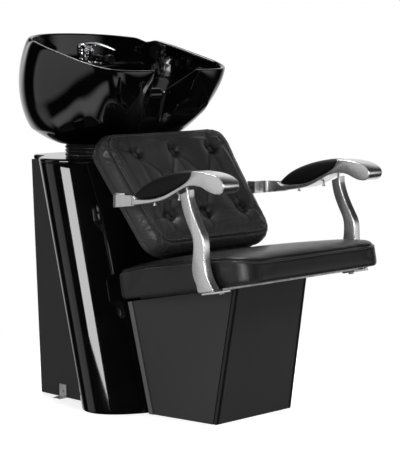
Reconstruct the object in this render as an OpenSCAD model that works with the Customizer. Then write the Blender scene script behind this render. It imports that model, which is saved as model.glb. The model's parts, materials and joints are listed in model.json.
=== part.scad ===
// Salon shampoo backwash unit: a leaning plumbing column with a tilting
// ceramic basin, and an upholstered seat on a tapered pedestal in front.
// Frame: +Z up, floor at z = 0, symmetric about x = 0. The client faces -Y,
// so the front is -Y and the client's left is +X.

/* [Column] */
// Half width of the elliptical column shell
col_half_w = 283; // [270:1:290]
// Half depth of the elliptical column shell, on plan
col_half_d = 143; // [138:1:148]
// Distance of the shell centre behind the origin, at the floor
col_y = 91; // [86:1:96]
// Rearward lean of the shell, degrees
col_lean = 14.5; // [14:0.1:15]
// Height of the column, top of its cap
col_h = 675; // [670:1:680]
// Wall of the moulded shell
shell_t = 5; // [3:0.5:6]
// Half width of the boxed rear part
box_half_w = 205; // [202:1:208]
// Lean of the rear door, degrees
door_lean = 2.9; // [2.5:0.1:3.2]

/* [Pedestal] */
// Half width of the pedestal at its front bottom edge
ped_half_w = 145; // [140:1:150]
// Forward reach of the pedestal at the floor
ped_reach = 250; // [245:1:255]
// Toe angle of the pedestal sides, degrees
ped_toe = 8.42; // [8:0.1:9]
// Forward lean of the front panel, degrees
ped_lean = 9.7; // [9:0.1:10.2]
// Board thickness of the pedestal panels
board_t = 12; // [10:1:14]

/* [Seat] */
// Slope of the seat, degrees, front higher
seat_slope = 10.8; // [10:0.1:11.5]
// Width of the seat cushion
seat_w = 524; // [510:1:530]
// Length of the seat cushion along its slope
seat_l = 489; // [480:1:492]
// Radius of the front corners in plan
seat_r = 62; // [50:1:80]

/* [Backrest] */
// Lean of the backrest from vertical, degrees
back_lean = 38; // [36:0.5:40]
// Half width at the top of the backrest
back_top_x = 238; // [234:1:241]
// Half width at the bottom of the backrest
back_bottom_x = 224; // [218:1:228]

/* [Armrests] */
// Outer half width across the armrests
arm_x = 304; // [300:1:306]
// Width of one armrest casting
arm_w = 56; // [50:1:58]
// Thickness of one armrest post, sideways
post_t = 23; // [20:1:26]

/* [Basin] */
// Half width of the basin rim
bowl_half_w = 253; // [248:1:256]
// Reach of the rim behind the basin centre
bowl_rear = 223; // [220:1:228]
// Reach of the rim in front of the basin centre
bowl_front = 249; // [245:1:252]
// Half width of the neck notch at its top
notch_x = 82; // [78:1:86]
// Height of the neck notch floor
notch_z = 846; // [840:1:850]
// Height of the basin floor at the drain
bowl_floor_z = 752; // [750:1:756]
// Thickness of the basin rim
rim_t = 13; // [11:1:15]
// Height of the tap deck
deck_z = 925; // [922:1:928]
// Height of the tilt axis
pivot_z = 692; // [690:1:694]
// Radius of the tilt pins
pin_r = 6; // [5:0.5:7]
// Radius of the drain hole
drain_r = 22.5; // [21:0.5:24]

/* [Hidden] */
$fn = 64;
eps = 0.01;
clearance = 0.05;  // radial running clearance
bowl_y = 290;      // basin centre
pivot_y = 300;     // tilt axis and drain, distance behind the origin
seat_y = -27;      // seat reference point
seat_z = 319;
back_y = 17.7;     // backrest reference point
back_z = 582.9;
cap_t = 12;        // column cap
panel_top = col_h - cap_t - 1;

// Colours used by more than one piece
gloss_black = [0.02, 0.02, 0.022];
panel_grey = [0.2, 0.2, 0.2];
upholstery = [0.03, 0.03, 0.03];
frame_steel = [0.3, 0.31, 0.33];
pivot_steel = [0.5, 0.51, 0.53];
door_steel = [0.7, 0.7, 0.72];
cast_metal = [0.78, 0.78, 0.78];
bright_steel = [0.8, 0.8, 0.8];
drain_chrome = [0.8, 0.8, 0.82];
tap_chrome = [0.85, 0.85, 0.87];
brass = [0.8, 0.7, 0.4];

// ---------- helpers ----------
function mix(a, b, t) = a + (b - a) * t;
// smooth 0..1 ramp of x between a and b
function smooth(a, b, x) = let (t = min(max((x - a) / (b - a), 0), 1)) t * t * (3 - 2 * t);
function ellipse(half_x, half_y, n = 96) =
  [for (i = [0:n - 1]) [half_x * cos(360 * i / n), half_y * sin(360 * i / n)]];
function arc(x, y, r, start, sweep, n = 8) =
  [for (i = [0:n]) let (a = start + sweep * i / n) [x + r * cos(a), y + r * sin(a)]];
// cubic Bezier of n points: end, handle, handle, end; the last end is left out
function bezier(p, n) = [for (i = [0:n - 1]) let (t = i / n, s = 1 - t)
  s * s * s * p[0] + 3 * s * s * t * p[1] + 3 * s * t * t * p[2] + t * t * t * p[3]];
// rounded trapezoid: half width x0 at y0, x1 at y1, corner radii r0 and r1
function rounded(x0, y0, x1, y1, r0, r1, n = 8) = concat(
  arc(x0 - r0, y0 + r0, r0, 270, 90, n),
  arc(x1 - r1, y1 - r1, r1, 0, 90, n),
  arc(r1 - x1, y1 - r1, r1, 90, 90, n),
  arc(r0 - x0, y0 + r0, r0, 180, 90, n));

module both() {
  children();
  mirror([1, 0, 0]) children();
}
module box(x0, x1, y0, y1, z0, z1) {
  translate([x0, y0, z0]) cube([x1 - x0, y1 - y0, z1 - z0]);
}
module xcyl(x0, x1, y, z, r) {
  translate([x0, y, z]) rotate([0, 90, 0]) cylinder(r = r, h = x1 - x0);
}
module zcyl(x, y, z, r, h) {
  translate([x, y, z]) cylinder(r = r, h = h);
}
// upright cylinder on the drain axis
module drain_cyl(z, r, h) { zcyl(0, pivot_y, z, r, h); }
// [y, z] profile extruded by t along X from x0
module side_profile(x0, t, points) {
  translate([x0, 0, 0]) rotate([90, 0, 90]) linear_extrude(t) polygon(points);
}
// seat frame: y rearwards along the slope, z square to the seat
module seat_at() { translate([0, seat_y, seat_z]) rotate([-seat_slope, 0, 0]) children(); }
// backrest frame: y rearwards through it, z up along it
module back_at() { translate([0, back_y, back_z]) rotate([-back_lean, 0, 0]) children(); }

// round hose swept along a Bezier path; every other ring is larger by rib
function unit(v) = v / norm(v);
module hose(path, r, steps, sides, rib = 0) {
  centres = concat(bezier(path, steps), [path[3]]);
  tangents = [for (i = [0:steps])
    unit(centres[min(i + 1, steps)] - centres[max(i - 1, 0)])];
  points = [for (i = [0:steps])
    let (u = unit(cross(tangents[i], [0.31, 0.95, 0.05])), v = cross(tangents[i], u),
      ring_r = r + (i % 2) * rib)
    for (j = [0:sides - 1])
      centres[i] + ring_r * cos(360 * j / sides) * u + ring_r * sin(360 * j / sides) * v];
  polyhedron(points = points, faces = concat(
    [[for (j = [0:sides - 1]) j]],
    [[for (j = [0:sides - 1]) steps * sides + sides - 1 - j]],
    [for (i = [0:steps - 1]) for (j = [0:sides - 1])
      let (k = (j + 1) % sides, near = i * sides, far = near + sides)
      each [[near + j, far + j, far + k], [near + j, far + k, near + k]]]));
}

// ---------- column ----------
rail_x = [60, 85];     // inner and outer face of a seat frame rail
side_t = 12;           // column side panel
plate_z = 648;         // underside of the top plate of the column frame
upright_x = [90, 130]; // inner and outer face of a frame upright
hose_pass = [60, 361]; // supply hose hole in the top plate

module shell_section(inset) {
  polygon(ellipse(col_half_w - inset, col_half_d * cos(col_lean) - inset));
}
module column_shell() {
  color(gloss_black) intersection() {
    translate([0, col_y, 0]) rotate([-col_lean, 0, 0]) translate([0, 0, -80])
      linear_extrude(840) difference() {
        shell_section(0);
        shell_section(shell_t);
        // open rear, between the side panels
        translate([-box_half_w - 0.5, 0]) square([2 * box_half_w + 1, 300]);
      }
    difference() {
      box(-400, 400, -300, 600, 0, col_h - cap_t - 0.5);
      // passages of the seat frame, hidden by the pedestal
      both() box(rail_x[0] - 3, rail_x[1] + 3, -200, 100, -1, 4);
      both() seat_at() box(rail_x[0] - 3, rail_x[1] + 3, -10, 110, -52, -21);
    }
  }
}

// one layer of the cap: z above its underside, h thick
module cap_layer(z, h, inset) {
  translate([0, 0, col_h - cap_t + z]) linear_extrude(h) union() {
    translate([0, col_y + (col_h - cap_t / 2) * tan(col_lean)])
      polygon(ellipse(col_half_w - inset, col_half_d - inset));
    translate([0, 340])
      polygon(rounded(box_half_w - inset, -60, box_half_w - inset, 94 - inset, 1, 38));
  }
}
module column_top() {
  edge_h = 3;
  color(gloss_black) difference() {
    union() {
      cap_layer(0, cap_t - edge_h, 0);
      cap_layer(cap_t - edge_h, edge_h, 2);
    }
    translate([0, 0, col_h - cap_t - 1]) linear_extrude(cap_t + 2)
      translate([0, pivot_y]) polygon(ellipse(128, 92, 64));
  }
}

// flat side panel behind the shell
door_y = 385;
module column_side_left() {
  color([0.19, 0.19, 0.19]) side_profile(box_half_w - side_t, side_t, [
    [col_y + 18, 1],
    [door_y, 1],
    [door_y + panel_top * tan(door_lean), panel_top],
    [col_y + 18 + panel_top * tan(col_lean), panel_top]]);
}
module column_side_right() { mirror([1, 0, 0]) column_side_left(); }

// front and rear bolt holes of one lower pivot bracket
module plate_holes(z) {
  for (y = [pivot_y - 30, pivot_y + 30]) zcyl(120, y, z, 5.2, 30);
}
// welded steel skeleton inside the column
module column_frame() {
  rail_y = [pivot_y - 14, pivot_y + 14];
  color([0.45, 0.46, 0.48]) {
    both() {
      box(upright_x[0], upright_x[1], pivot_y - 20, pivot_y + 20, 3, plate_z);
      box(upright_x[0], upright_x[1], 40, 345, 0, 3);
      box(96, 124, 100, 280.5, 262, 290);
      // side rails that carry the side panels
      for (z = [60, 560]) box(129.5, 192, rail_y[0], rail_y[1], z, z + 24);
    }
    box(-95, 95, rail_y[0], rail_y[1], 330, 354);
    difference() {
      box(-160, 160, 215, 395, plate_z - eps, 655);
      drain_cyl(640, 50, 30);
      both() plate_holes(640);
      both() zcyl(hose_pass[0], hose_pass[1], 640, 13, 30);
    }
  }
}

// door frame: local z runs up the door, local y points rearwards
hinge_x = -181;
hinge_y = -6;
module door_at() { translate([0, door_y, 0]) rotate([-door_lean, 0, 0]) children(); }
// knob frame: local z points out of the rear of the door
module knob_at() { door_at() translate([160, 0, 330]) rotate([-90, 0, 0]) children(); }
module rear_door() {
  color([0.17, 0.17, 0.17]) difference() {
    door_at() box(-190, 191, -11, -1, 8, 650);
    door_at() for (z = [6, 626]) zcyl(hinge_x, hinge_y, z, 3 + clearance, 26);
    knob_at() zcyl(0, 0, -15, 3, 20);
  }
}
// hinge pins with the blocks that hold them, below and above the door
module door_pins() {
  color(door_steel) {
    door_at() for (z = [1, 629]) zcyl(hinge_x, hinge_y, z, 3, 29);
    intersection() {
      door_at() for (z = [[-20, 5], [652.5, 657]]) box(-192, -170, -11, -1, z[0], z[1]);
      box(-300, 300, 300, 500, 0, panel_top);
    }
  }
}
module door_knob() {
  // shank, collar, grip, inner washer: [z, radius, height]
  color(door_steel) knob_at()
    for (part = [[-14, 2.95, 14], [-0.9, 8, 8], [7, 14, 9], [-16.5, 7, 5.3]])
      zcyl(0, 0, part[0], part[1], part[2]);
}

// ---------- pedestal ----------
function ped_top(y) = 304 + (21 - y) * 0.1916;
// everything under the sloping top of the pedestal
module under_ped_top() {
  side_profile(-200, 400, [[-400, 0], [100, 0], [100, ped_top(100)], [-400, ped_top(-400)]]);
}
// the side panel stands on the toed-in line; local y runs rearwards along it
module ped_side_at() {
  translate([ped_half_w, -ped_reach, 0]) rotate([0, 0, -ped_toe]) children();
}
module front_at() { translate([0, -ped_reach, 0]) rotate([ped_lean, 0, 0]) children(); }
// board of thickness t in the front plane, [x, height] outline
module front_board(t, points) {
  front_at() translate([0, t, 0]) rotate([90, 0, 0]) linear_extrude(t) polygon(points);
}

module base_side_left() {
  color(panel_grey) ped_side_at()
    side_profile(-board_t, board_t, [[10.8, 0], [222, 0], [294, 296.5], [-52, 365.2]]);
}
module base_side_right() { mirror([1, 0, 0]) base_side_left(); }
module base_front_panel() {
  bottom_x = ped_half_w - 10;
  top_x = ped_half_w - 19.5;
  color(panel_grey) intersection() {
    front_board(board_t, [[-bottom_x, -5], [bottom_x, -5], [top_x, 380], [-top_x, 380]]);
    under_ped_top();
  }
}
// dark edge profiles along the front corners
module base_corner_trims() {
  color([0.05, 0.05, 0.05]) both() intersection() {
    front_board(10, [[ped_half_w - 9.5, -5], [ped_half_w - 0.5, -5],
      [ped_half_w - 10, 380], [ped_half_w - 19, 380]]);
    under_ped_top();
    ped_side_at() translate([-60, -100, -1]) cube([60 - 0.3, 109.5, 400]);
  }
}
// cover strips where the pedestal meets the column
module base_rear_trims() {
  color([0.1, 0.1, 0.1]) both() ped_side_at()
    side_profile(0.5, 3, [[206, 0], [219, 0], [290, 296.5], [277, 299.3]]);
}
module base_top_board() {
  color([0.06, 0.06, 0.06]) seat_at() translate([0, 0, -23]) linear_extrude(12)
    polygon([[-118, -268], [118, -268], [157, 20], [-157, 20]]);
}

// ---------- seat ----------
module seat_frame() {
  cross_x = rail_x[0] + 2;  // cross members run 2 into the rails
  color(frame_steel) {
    both() {
      seat_at() box(rail_x[0], rail_x[1], -260, 90, -49, -23.5);
      // legs: front face y, top z
      for (leg = [[-223, 316], [42, 272]])
        box(rail_x[0] + 2, rail_x[1] - 2, leg[0], leg[0] + 21, 2, leg[1]);
    }
    // floor plate
    linear_extrude(3) union() {
      both() translate([rail_x[0], -225]) square([rail_x[1] - rail_x[0], 295]);
      translate([-cross_x, -20]) square([2 * cross_x, 40]);
    }
    seat_at() box(-cross_x, cross_x, -228, -207, -46, -27);
  }
}
module seat_board() {
  color([0.05, 0.05, 0.05]) seat_at() translate([0, 0, -5.2]) linear_extrude(5.1)
    polygon(rounded(200, -310, 200, 10, 30, 8));
}
// side outline of the cushion, [y, z] in the seat frame
cushion_side = [[30, 0], [30, 74], [-45, 80], [-150, 86], [-300, 86], [-430, 76],
  [-455, 66], [-466, 50], [-463, 20], [-456, 0]];
module seat_cushion() {
  rear = 22;
  color(upholstery) seat_at() intersection() {
    linear_extrude(120)
      polygon(rounded(seat_w / 2, rear - seat_l, seat_w / 2, rear, seat_r, 18, 12));
    side_profile(-300, 600, cushion_side);
  }
}

// ---------- backrest ----------
// slab t thick in front of rear_y, inset from the cushion outline
module back_slab(rear_y, t, inset, bottom_r, top_r) {
  translate([0, rear_y, 0]) rotate([90, 0, 0]) linear_extrude(t)
    polygon(rounded(back_bottom_x - inset, inset - 182, back_top_x - inset, 184 - inset,
      bottom_r, top_r));
}
module backrest_board() {
  color([0.04, 0.04, 0.04]) difference() {
    back_at() back_slab(30.5, 16, 6, 56, 54);
    // relief over the front edge of the column cap
    box(-110, 110, 120.3, 200, 650, col_h + 0.6);
  }
}
module backrest_cushion() {
  color(upholstery) difference() {
    back_at() {
      back_slab(14, 38, 0, 62, 60);
      back_slab(-24 + eps, 20, 16, 55, 55);
      back_slab(-44 + 2 * eps, 9, 50, 50, 50);
    }
    both() strap_cyl(188, 262, 4.3);
    for (button = buttons) button_at(button) zcyl(0, 0, -3, 10.5, 60);
  }
}
// tufting buttons: [across, up]
buttons = concat(
  [for (i = [-1:1]) [142 * i, 110]],
  [for (i = [-1:1]) [138 * i, -92]],
  [for (side = [-1, 1]) [70 * side, 9]]);
module button_at(place) {
  back_at() translate([place[0], -30, place[1]]) rotate([90, 0, 0]) children();
}
module backrest_buttons() {
  color([0.05, 0.05, 0.05]) for (button = buttons) button_at(button) {
    zcyl(0, 0, -2, 9, 5);
    translate([0, 0, 3 - eps]) cylinder(r1 = 9, r2 = 5, h = 4);
  }
}
// steel bracket from the backrest board down to the seat frame
module backrest_bracket() {
  color(frame_steel) both() {
    back_at() box(38, 82, 30.6, 34.6, -90, 40);
    difference() {
      box(42, 78, 10.5, 14.5, 290, 540);
      back_at() box(0, 200, -100, 31, -300, 300);
    }
    seat_at() box(40, 92, 34, 50, -23.4, -19.4);
  }
}

// ---------- armrests ----------
// outlines are [y, z] before the shift arm_dy
arm_dy = 6;                           // fore-and-aft setting of the castings and posts
arm_mid_x = arm_x - arm_w / 2;
pad_screws_at = [[-165, 578], [-255, 597.5]]; // [y before arm_dy, z of the head underside]
pad_hole_r = 2.6;
post_x = arm_x - 4 - post_t;          // inner face of a post
post_mid_x = arm_x - 4 - post_t / 2;
post_bolt_y = arm_dy - 296;

module arm_profile(x0, t, points) {
  translate([x0, arm_dy, 0]) rotate([90, 0, 90]) linear_extrude(t) polygon(points);
}
// underside, rear to front
arm_underside = concat(
  bezier([[-40, 567], [-80, 571], [-140, 579], [-203, 592]], 6),
  bezier([[-203, 592], [-262, 606], [-285, 640], [-336, 640]], 8),
  bezier([[-336, 640], [-372, 640], [-380, 624], [-412, 624]], 6),
  bezier([[-412, 624], [-428, 624], [-437, 634], [-437, 644]], 4));
// rounded front end, bottom to top
arm_nose = concat(
  bezier([[-437, 644], [-437, 662], [-404, 674], [-350, 675]], 8),
  [[-350, 675], [-324, 675]]);
// hollow that carries the pad, front to rear
arm_hollow = concat(
  bezier([[-324, 673], [-320, 650], [-290, 638], [-238, 614]], 8),
  bezier([[-238, 614], [-200, 598], [-160, 592], [-122, 593]], 6),
  [[-112, 599], [-104, 600]]);
// top of the pad, rear to front
pad_top = concat(
  bezier([[-114, 601], [-140, 637], [-220, 666], [-322, 675.5]], 14),
  [[-322, 675.5]]);
// edges of the post: rear going down, front going up
post_rear = concat(
  bezier([[-280, 618], [-284, 580], [-300, 552], [-316, 526]], 6),
  bezier([[-316, 526], [-332, 500], [-325, 474], [-322, 446]], 6),
  bezier([[-322, 446], [-320, 425], [-326, 406], [-339, 391]], 5));
post_front = concat(
  bezier([[-398, 388], [-384, 404], [-370, 425], [-367, 450]], 5),
  bezier([[-367, 450], [-364, 490], [-368, 505], [-354, 526]], 6),
  bezier([[-354, 526], [-338, 552], [-318, 580], [-310, 618]], 6),
  [[-310, 618]]);
// region under the armrest that the post may fill
post_limit = [[-500, 360], [0, 360], [0, 613], [-278, 613], [-290, 619.5],
  [-301, 624.6], [-312, 629.5], [-500, 600]];

module armrest_left() {
  color(cast_metal) difference() {
    arm_profile(arm_x - arm_w, arm_w, concat([[-104, 574.6]],
      [for (q = arm_underside) if (q[0] < -104.5) q], arm_nose, arm_hollow));
    // holes of the post bolt and the pad screws
    zcyl(post_mid_x, post_bolt_y, 600, 3.3, 50);
    for (screw = pad_screws_at) zcyl(arm_mid_x, arm_dy + screw[0], 560, pad_hole_r, 110);
    // square rear end
    arm_profile(arm_x - arm_w - 1, arm_w + 2,
      [[-96, 560], [-104.4, 560], [-104.4, 610], [-96, 610]]);
  }
}
module armrest_right() { mirror([1, 0, 0]) armrest_left(); }

module armrest_pad_left() {
  color([0.04, 0.04, 0.04]) difference() {
    arm_profile(arm_x - arm_w + 1, arm_w - 2, concat(pad_top,
      [for (q = arm_hollow) if (q[0] > -323 && q[0] < -118) [q[0] + 1, q[1] + 1.5]]));
    for (screw = pad_screws_at) zcyl(arm_mid_x, arm_dy + screw[0], 560, pad_hole_r, 79);
  }
}
module armrest_pad_right() { mirror([1, 0, 0]) armrest_pad_left(); }
module pad_screws() {
  color(bright_steel) both() for (screw = pad_screws_at) {
    zcyl(arm_mid_x, arm_dy + screw[0], screw[1], 2.5, 40);
    zcyl(arm_mid_x, arm_dy + screw[0], screw[1], 4.5, 3);
  }
}

// bolt through the post foot and the cross bar, in the seat frame
foot_bolt = [250, -348];
module foot_bolt_cyl(z, r, h) { zcyl(foot_bolt[0], foot_bolt[1], z, r, h); }
module armrest_post_left() {
  color(cast_metal) difference() {
    union() {
      intersection() {
        arm_profile(post_x, post_t,
          concat(post_rear, [[-339, 391], [-341, 373], [-396, 383]], post_front));
        arm_profile(0, 400, post_limit);
      }
      // foot that turns in under the cushion
      seat_at() box(238, arm_x - 5, -370, -326, -11, -6.2);
    }
    zcyl(post_mid_x, post_bolt_y, 590, 3.3, 60);
    seat_at() foot_bolt_cyl(-30, 4.2, 40);
  }
}
module armrest_post_right() { mirror([1, 0, 0]) armrest_post_left(); }
module post_bolts() {
  color(bright_steel) both() {
    zcyl(post_mid_x, post_bolt_y, 595, 3.2, 44);
    seat_at() {
      foot_bolt_cyl(-15, 4, 14);
      foot_bolt_cyl(-15, 7, 3.8);
    }
  }
}
module cross_bar() {
  color(bright_steel) seat_at() difference() {
    box(-260, 260, -365, -331, -6, -1);
    both() foot_bolt_cyl(-30, 4.2, 40);
  }
}

// flat strap from the armrest back and in to the side of the backrest
strap_t = 6;
strap_bend = [arm_x - 32, -36, 26]; // centre x, centre y, outer radius
strap_end_y = arm_dy - 103.8;
strap_plan = concat(
  [[arm_x - strap_t, strap_end_y]],
  arc(strap_bend[0], strap_bend[1], strap_bend[2], 0, 90),
  [[255, -10], [255, 12], [249, 12], [249, -16]],
  arc(strap_bend[0], strap_bend[1], strap_bend[2] - strap_t, 90, -90),
  [[arm_x - 2 * strap_t, strap_end_y]]);
// cylinder on the axis of the strap bolt
module strap_cyl(x0, x1, r) { xcyl(x0, x1, 1, 579, r); }
module strap_left() {
  color(cast_metal) difference() {
    intersection() {
      translate([0, 0, 540]) linear_extrude(80) polygon(strap_plan);
      side_profile(200, 200, [[-110, 575], [20, 559], [20, 596.4], [-110, 600.5]]);
    }
    strap_cyl(230, 262, 4.3);
  }
}
module strap_right() { mirror([1, 0, 0]) strap_left(); }
module strap_bolts() {
  color(bright_steel) both() {
    strap_cyl(192, 256, 4);
    strap_cyl(255.2, 260, 7);
  }
}

// ---------- floor brackets ----------
foot_y = [275, 304];
foot_mid_y = 289.5;
foot_screw_z = 20;
module floor_bracket_left() {
  color([0.75, 0.76, 0.74]) difference() {
    union() {
      box(box_half_w + 0.6, box_half_w + 2.6, foot_y[0], foot_y[1], 0, 37);
      box(box_half_w + 0.6, box_half_w + 26, foot_y[0], foot_y[1], 0, 2);
    }
    zcyl(box_half_w + 15, foot_mid_y, -1, 3.5, 5);
    xcyl(box_half_w - 1, box_half_w + 5, foot_mid_y, foot_screw_z, 2.6);
  }
}
module floor_bracket_right() { mirror([1, 0, 0]) floor_bracket_left(); }
module floor_bracket_screws() {
  color(bright_steel) both() {
    xcyl(box_half_w + 0.2, box_half_w + 5, foot_mid_y, foot_screw_z, 2.5);
    xcyl(box_half_w + 2.8, box_half_w + 5.5, foot_mid_y, foot_screw_z, 4.6);
  }
}

// ---------- tilt pivot ----------
ear_r = 22;            // ears of both brackets
lower_ear = [100, 106]; // inner and outer face
upper_ear = [88, 94];
upper_plate_z = 731;
// cylinder on the tilt axis
module tilt_cyl(x0, x1, r) { xcyl(x0, x1, pivot_y, pivot_z, r); }

module lower_pivot_bracket() {
  color(pivot_steel) both() difference() {
    union() {
      box(lower_ear[0], 140, pivot_y - 45, pivot_y + 45, 655.2, 660);
      box(lower_ear[0], lower_ear[1], pivot_y - ear_r, pivot_y + ear_r, 659.9, pivot_z);
      tilt_cyl(lower_ear[0], lower_ear[1], ear_r);
    }
    tilt_cyl(95, 110, pin_r + 0.02);
    plate_holes(650);
  }
}
module upper_pivot_bracket() {
  color(pivot_steel) difference() {
    union() {
      drain_cyl(upper_plate_z, 112, 6);
      both() {
        box(upper_ear[0], upper_ear[1], pivot_y - ear_r, pivot_y + ear_r,
          pivot_z, upper_plate_z + eps);
        tilt_cyl(upper_ear[0], upper_ear[1], ear_r);
      }
    }
    drain_cyl(700, 42, 60);
    // rear cut of the plate
    translate([0, pivot_y + 90, 700]) box(-70, 70, -22, 40, 0, 60);
    both() tilt_cyl(80, 96, pin_r + clearance);
  }
}
module pivot_pins() {
  color(bright_steel) both() {
    tilt_cyl(84, 111, pin_r);
    tilt_cyl(106.2, 111, 9);
  }
}
module pivot_washers() {
  color([0.85, 0.85, 0.8]) both() difference() {
    tilt_cyl(94.6, 99.6, 13);
    tilt_cyl(90, 105, pin_r + 0.1);
  }
}
// ribbed rubber collar between the column cap and the basin
module bellows() {
  ribs = 6;
  pitch = 5;
  bore = [141, 103]; // half width, half depth
  color(upholstery) translate([0, pivot_y, 0]) for (i = [0:ribs - 1]) {
    wall = i % 2 == 0 ? 8 : 16;
    translate([0, 0, col_h + 1 + i * pitch])
      linear_extrude(pitch + (i < ribs - 1 ? eps : 0.4)) difference() {
        polygon(ellipse(bore[0] + wall, bore[1] + wall, 64));
        polygon(ellipse(bore[0], bore[1], 64));
      }
  }
}

// ---------- basin ----------
// The basin is a fan of section rays about its centre. A ray stands at an angle
// from the front, 0..180, and its points are [radius, z].
lip_reach = 160;   // straight lip of the neck notch, in front of the centre
lip_rise = 7;      // rise of the notch floor to its corners
rim_low_z = 913;   // rim height at the front
rim_dip_y = 372;   // y where the rear part of the rim begins
deck_reach = 95;   // front edge of the tap deck, behind the centre
foot_half = [172, 132];   // foot ring about the tilt axis: half width, half depth
hollow_half = [160, 120]; // inside of the foot ring
foot_z = 707;
horn_angle = asin(notch_x / norm([notch_x, bowl_front - 3]));
flat_angle = horn_angle - 3.2;

// superelliptic rim, squarer at the front
function rim_radius(angle) =
  let (side = abs(sin(angle)), rear = -cos(angle),
    reach = rear >= 0 ? bowl_rear : bowl_front, power = rear >= 0 ? 2.15 : 5)
  pow(pow(side / bowl_half_w, power) + pow(abs(rear) / reach, power), -1 / power);
function rim_z(y) = y < rim_dip_y ? max(901.5 + 0.2465 * y, rim_low_z)
  : let (s = (y - rim_dip_y) / (bowl_y + bowl_rear - rim_dip_y))
    993.2 + 20 * s - 9 * exp(-pow((s - 0.2) / 0.13, 2));
// top edge of the wall: notch floor, slope up to the horn, then the rim
function slope_part(angle) = (angle - flat_angle) / (horn_angle - flat_angle);
function edge_radius(angle) = angle >= horn_angle ? rim_radius(angle)
  : angle <= flat_angle ? lip_reach / cos(angle)
  : mix(lip_reach / cos(flat_angle), rim_radius(horn_angle), slope_part(angle));
function edge_z(angle) =
  angle >= horn_angle ? rim_z(bowl_y - rim_radius(angle) * cos(angle))
  : angle <= flat_angle ? notch_z + lip_rise * pow(angle / flat_angle, 3)
  : mix(notch_z + lip_rise, rim_low_z, slope_part(angle));

// lower edge of the outer wall: [angle, fraction of the rim radius] and [angle, z]
low_fractions = [[horn_angle, 1], [32.9, 0.92], [39.7, 0.82], [46.4, 0.75], [62.4, 0.74],
  [74.6, 0.81], [90, 0.9], [110, 0.95], [135, 0.98], [180, 0.985]];
low_heights = [[horn_angle, 911], [32.9, 826], [39.7, 795], [46.4, 778], [62.4, 757],
  [74.6, 748], [90, 743], [135, 750], [180, 754]];
function low_fraction(angle) = lookup(angle, low_fractions);
function low_z(angle) = lookup(angle, low_heights);
// outer wall, t = 0 at the rim and 1 at the lower edge
function wall_power(angle) = mix(1.6, 6.5, smooth(50, 120, angle));
function wall_bulge(angle) = 0.075 * smooth(60, 110, angle) + 0.04 * smooth(110, 150, angle);
function outer_point(angle, t) = angle >= horn_angle
  ? [edge_radius(angle) * (1 - (1 - low_fraction(angle)) * pow(t, wall_power(angle))
      + wall_bulge(angle) * 4 * t * (1 - t)),
    mix(edge_z(angle), low_z(angle), t)]
  : [edge_radius(angle) - 2 * t, edge_z(angle) - 3 * t];
// ellipse about the tilt axis, as a radius from the basin centre
function foot_radius(angle, half) =
  let (side = sin(angle), rear = -cos(angle), shift = pivot_y - bowl_y, depth2 = pow(half[1], 2),
    qa = side * side / pow(half[0], 2) + rear * rear / depth2,
    qb = -2 * rear * shift / depth2,
    qc = shift * shift / depth2 - 1)
  (-qb + sqrt(qb * qb - 4 * qa * qc)) / (2 * qa);

// inner wall, s = 0 at the drain and 1 at the rim: superelliptic section
deck_power = 2.6;
function section(q, power) = pow(1 - pow(q, power), 1 / power);
function inner_power(angle) = mix(2.1, 2.8, smooth(50, 100, angle));
function deck_part(angle) = smooth(110, 124, angle);
function deck_radius(angle) = deck_reach / max(-cos(angle), 0.2);
function inner_plain(angle, s) =
  [max((edge_radius(angle) - rim_t) * section(1 - s, inner_power(angle)), 28 * (1 - s) + 2),
    mix(bowl_floor_z, edge_z(angle) - 3, s)];
// the same with the tap deck behind the basin
function inner_deck(angle, s) = let (front = deck_radius(angle), rear = edge_radius(angle) - rim_t)
  s <= 0.55 ? let (q = 1 - s / 0.55)
    [max(front * section(q, deck_power), 28 * q + 2), mix(bowl_floor_z, deck_z - 4, s / 0.55)]
  : s <= 0.6 ? [front + 3, deck_z]
  : s <= 0.75 ? [rear - 8, deck_z]
  : [rear, mix(deck_z + 6, edge_z(angle) - 3, (s - 0.75) / 0.25)];
function inner_point(angle, s) =
  mix(inner_plain(angle, s), inner_deck(angle, s), deck_part(angle));
inner_steps = [0, 0.03, 0.09, 0.2, 0.34, 0.46, 0.55, 0.6, 0.75, 0.82, 1];
outer_steps = [0.03, 0.12, 0.28, 0.46, 0.64, 0.8, 0.91, 1];

// point between the lower edge of the wall and the foot ring
function sole_point(angle, t) =
  mix(outer_point(angle, 1), [foot_radius(angle, foot_half), foot_z], t)
  + [0, -4 * sin(180 * t)];
// radii of the outer and inner wall at height z
function outer_at(angle, z) =
  let (t = (edge_z(angle) - z) / (edge_z(angle) - low_z(angle)))
  outer_point(angle, min(max(t, 0), 1))[0];
function inner_at(angle, z) =
  let (rise = z - bowl_floor_z,
    plain_q = 1 - rise / (edge_z(angle) - 3 - bowl_floor_z),
    deck_q = 1 - rise / (deck_z - 4 - bowl_floor_z))
  mix((edge_radius(angle) - rim_t) * section(max(plain_q, 0), inner_power(angle)),
    deck_radius(angle) * section(max(deck_q, 0), deck_power), deck_part(angle));
// open underside: a hollow between the outer wall and the basin wall,
// flat at the front and deep from the sides rearwards
function underside(angle) =
  let (w = smooth(56, 80, angle), foot = foot_radius(angle, foot_half),
    top_z = mix(low_z(angle) + 70, deck_z - 20, smooth(112, 126, angle)),
    lip_z = low_z(angle) + 9,
    top_r = outer_at(angle, top_z))
  [[foot - 10, foot_z],
   mix([foot - 14, 717], [low_fraction(angle) * edge_radius(angle) - 17, lip_z], w),
   mix([foot - 17, 722],
     [min(outer_at(angle, lip_z + 30), top_r) - 15, mix(lip_z, top_z, 0.45)], w),
   mix([foot - 20, 727], [top_r - 15, top_z], w),
   mix([foot - 24, 731], [inner_at(angle, top_z) + 14, top_z], w),
   mix([foot - 28, 734], [inner_at(angle, 805) + 13, 790], w),
   mix([foot - 34, 736], [inner_at(angle, 775) + 12, 762], w),
   [foot_radius(angle, hollow_half) * 0.55, 738]];

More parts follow.
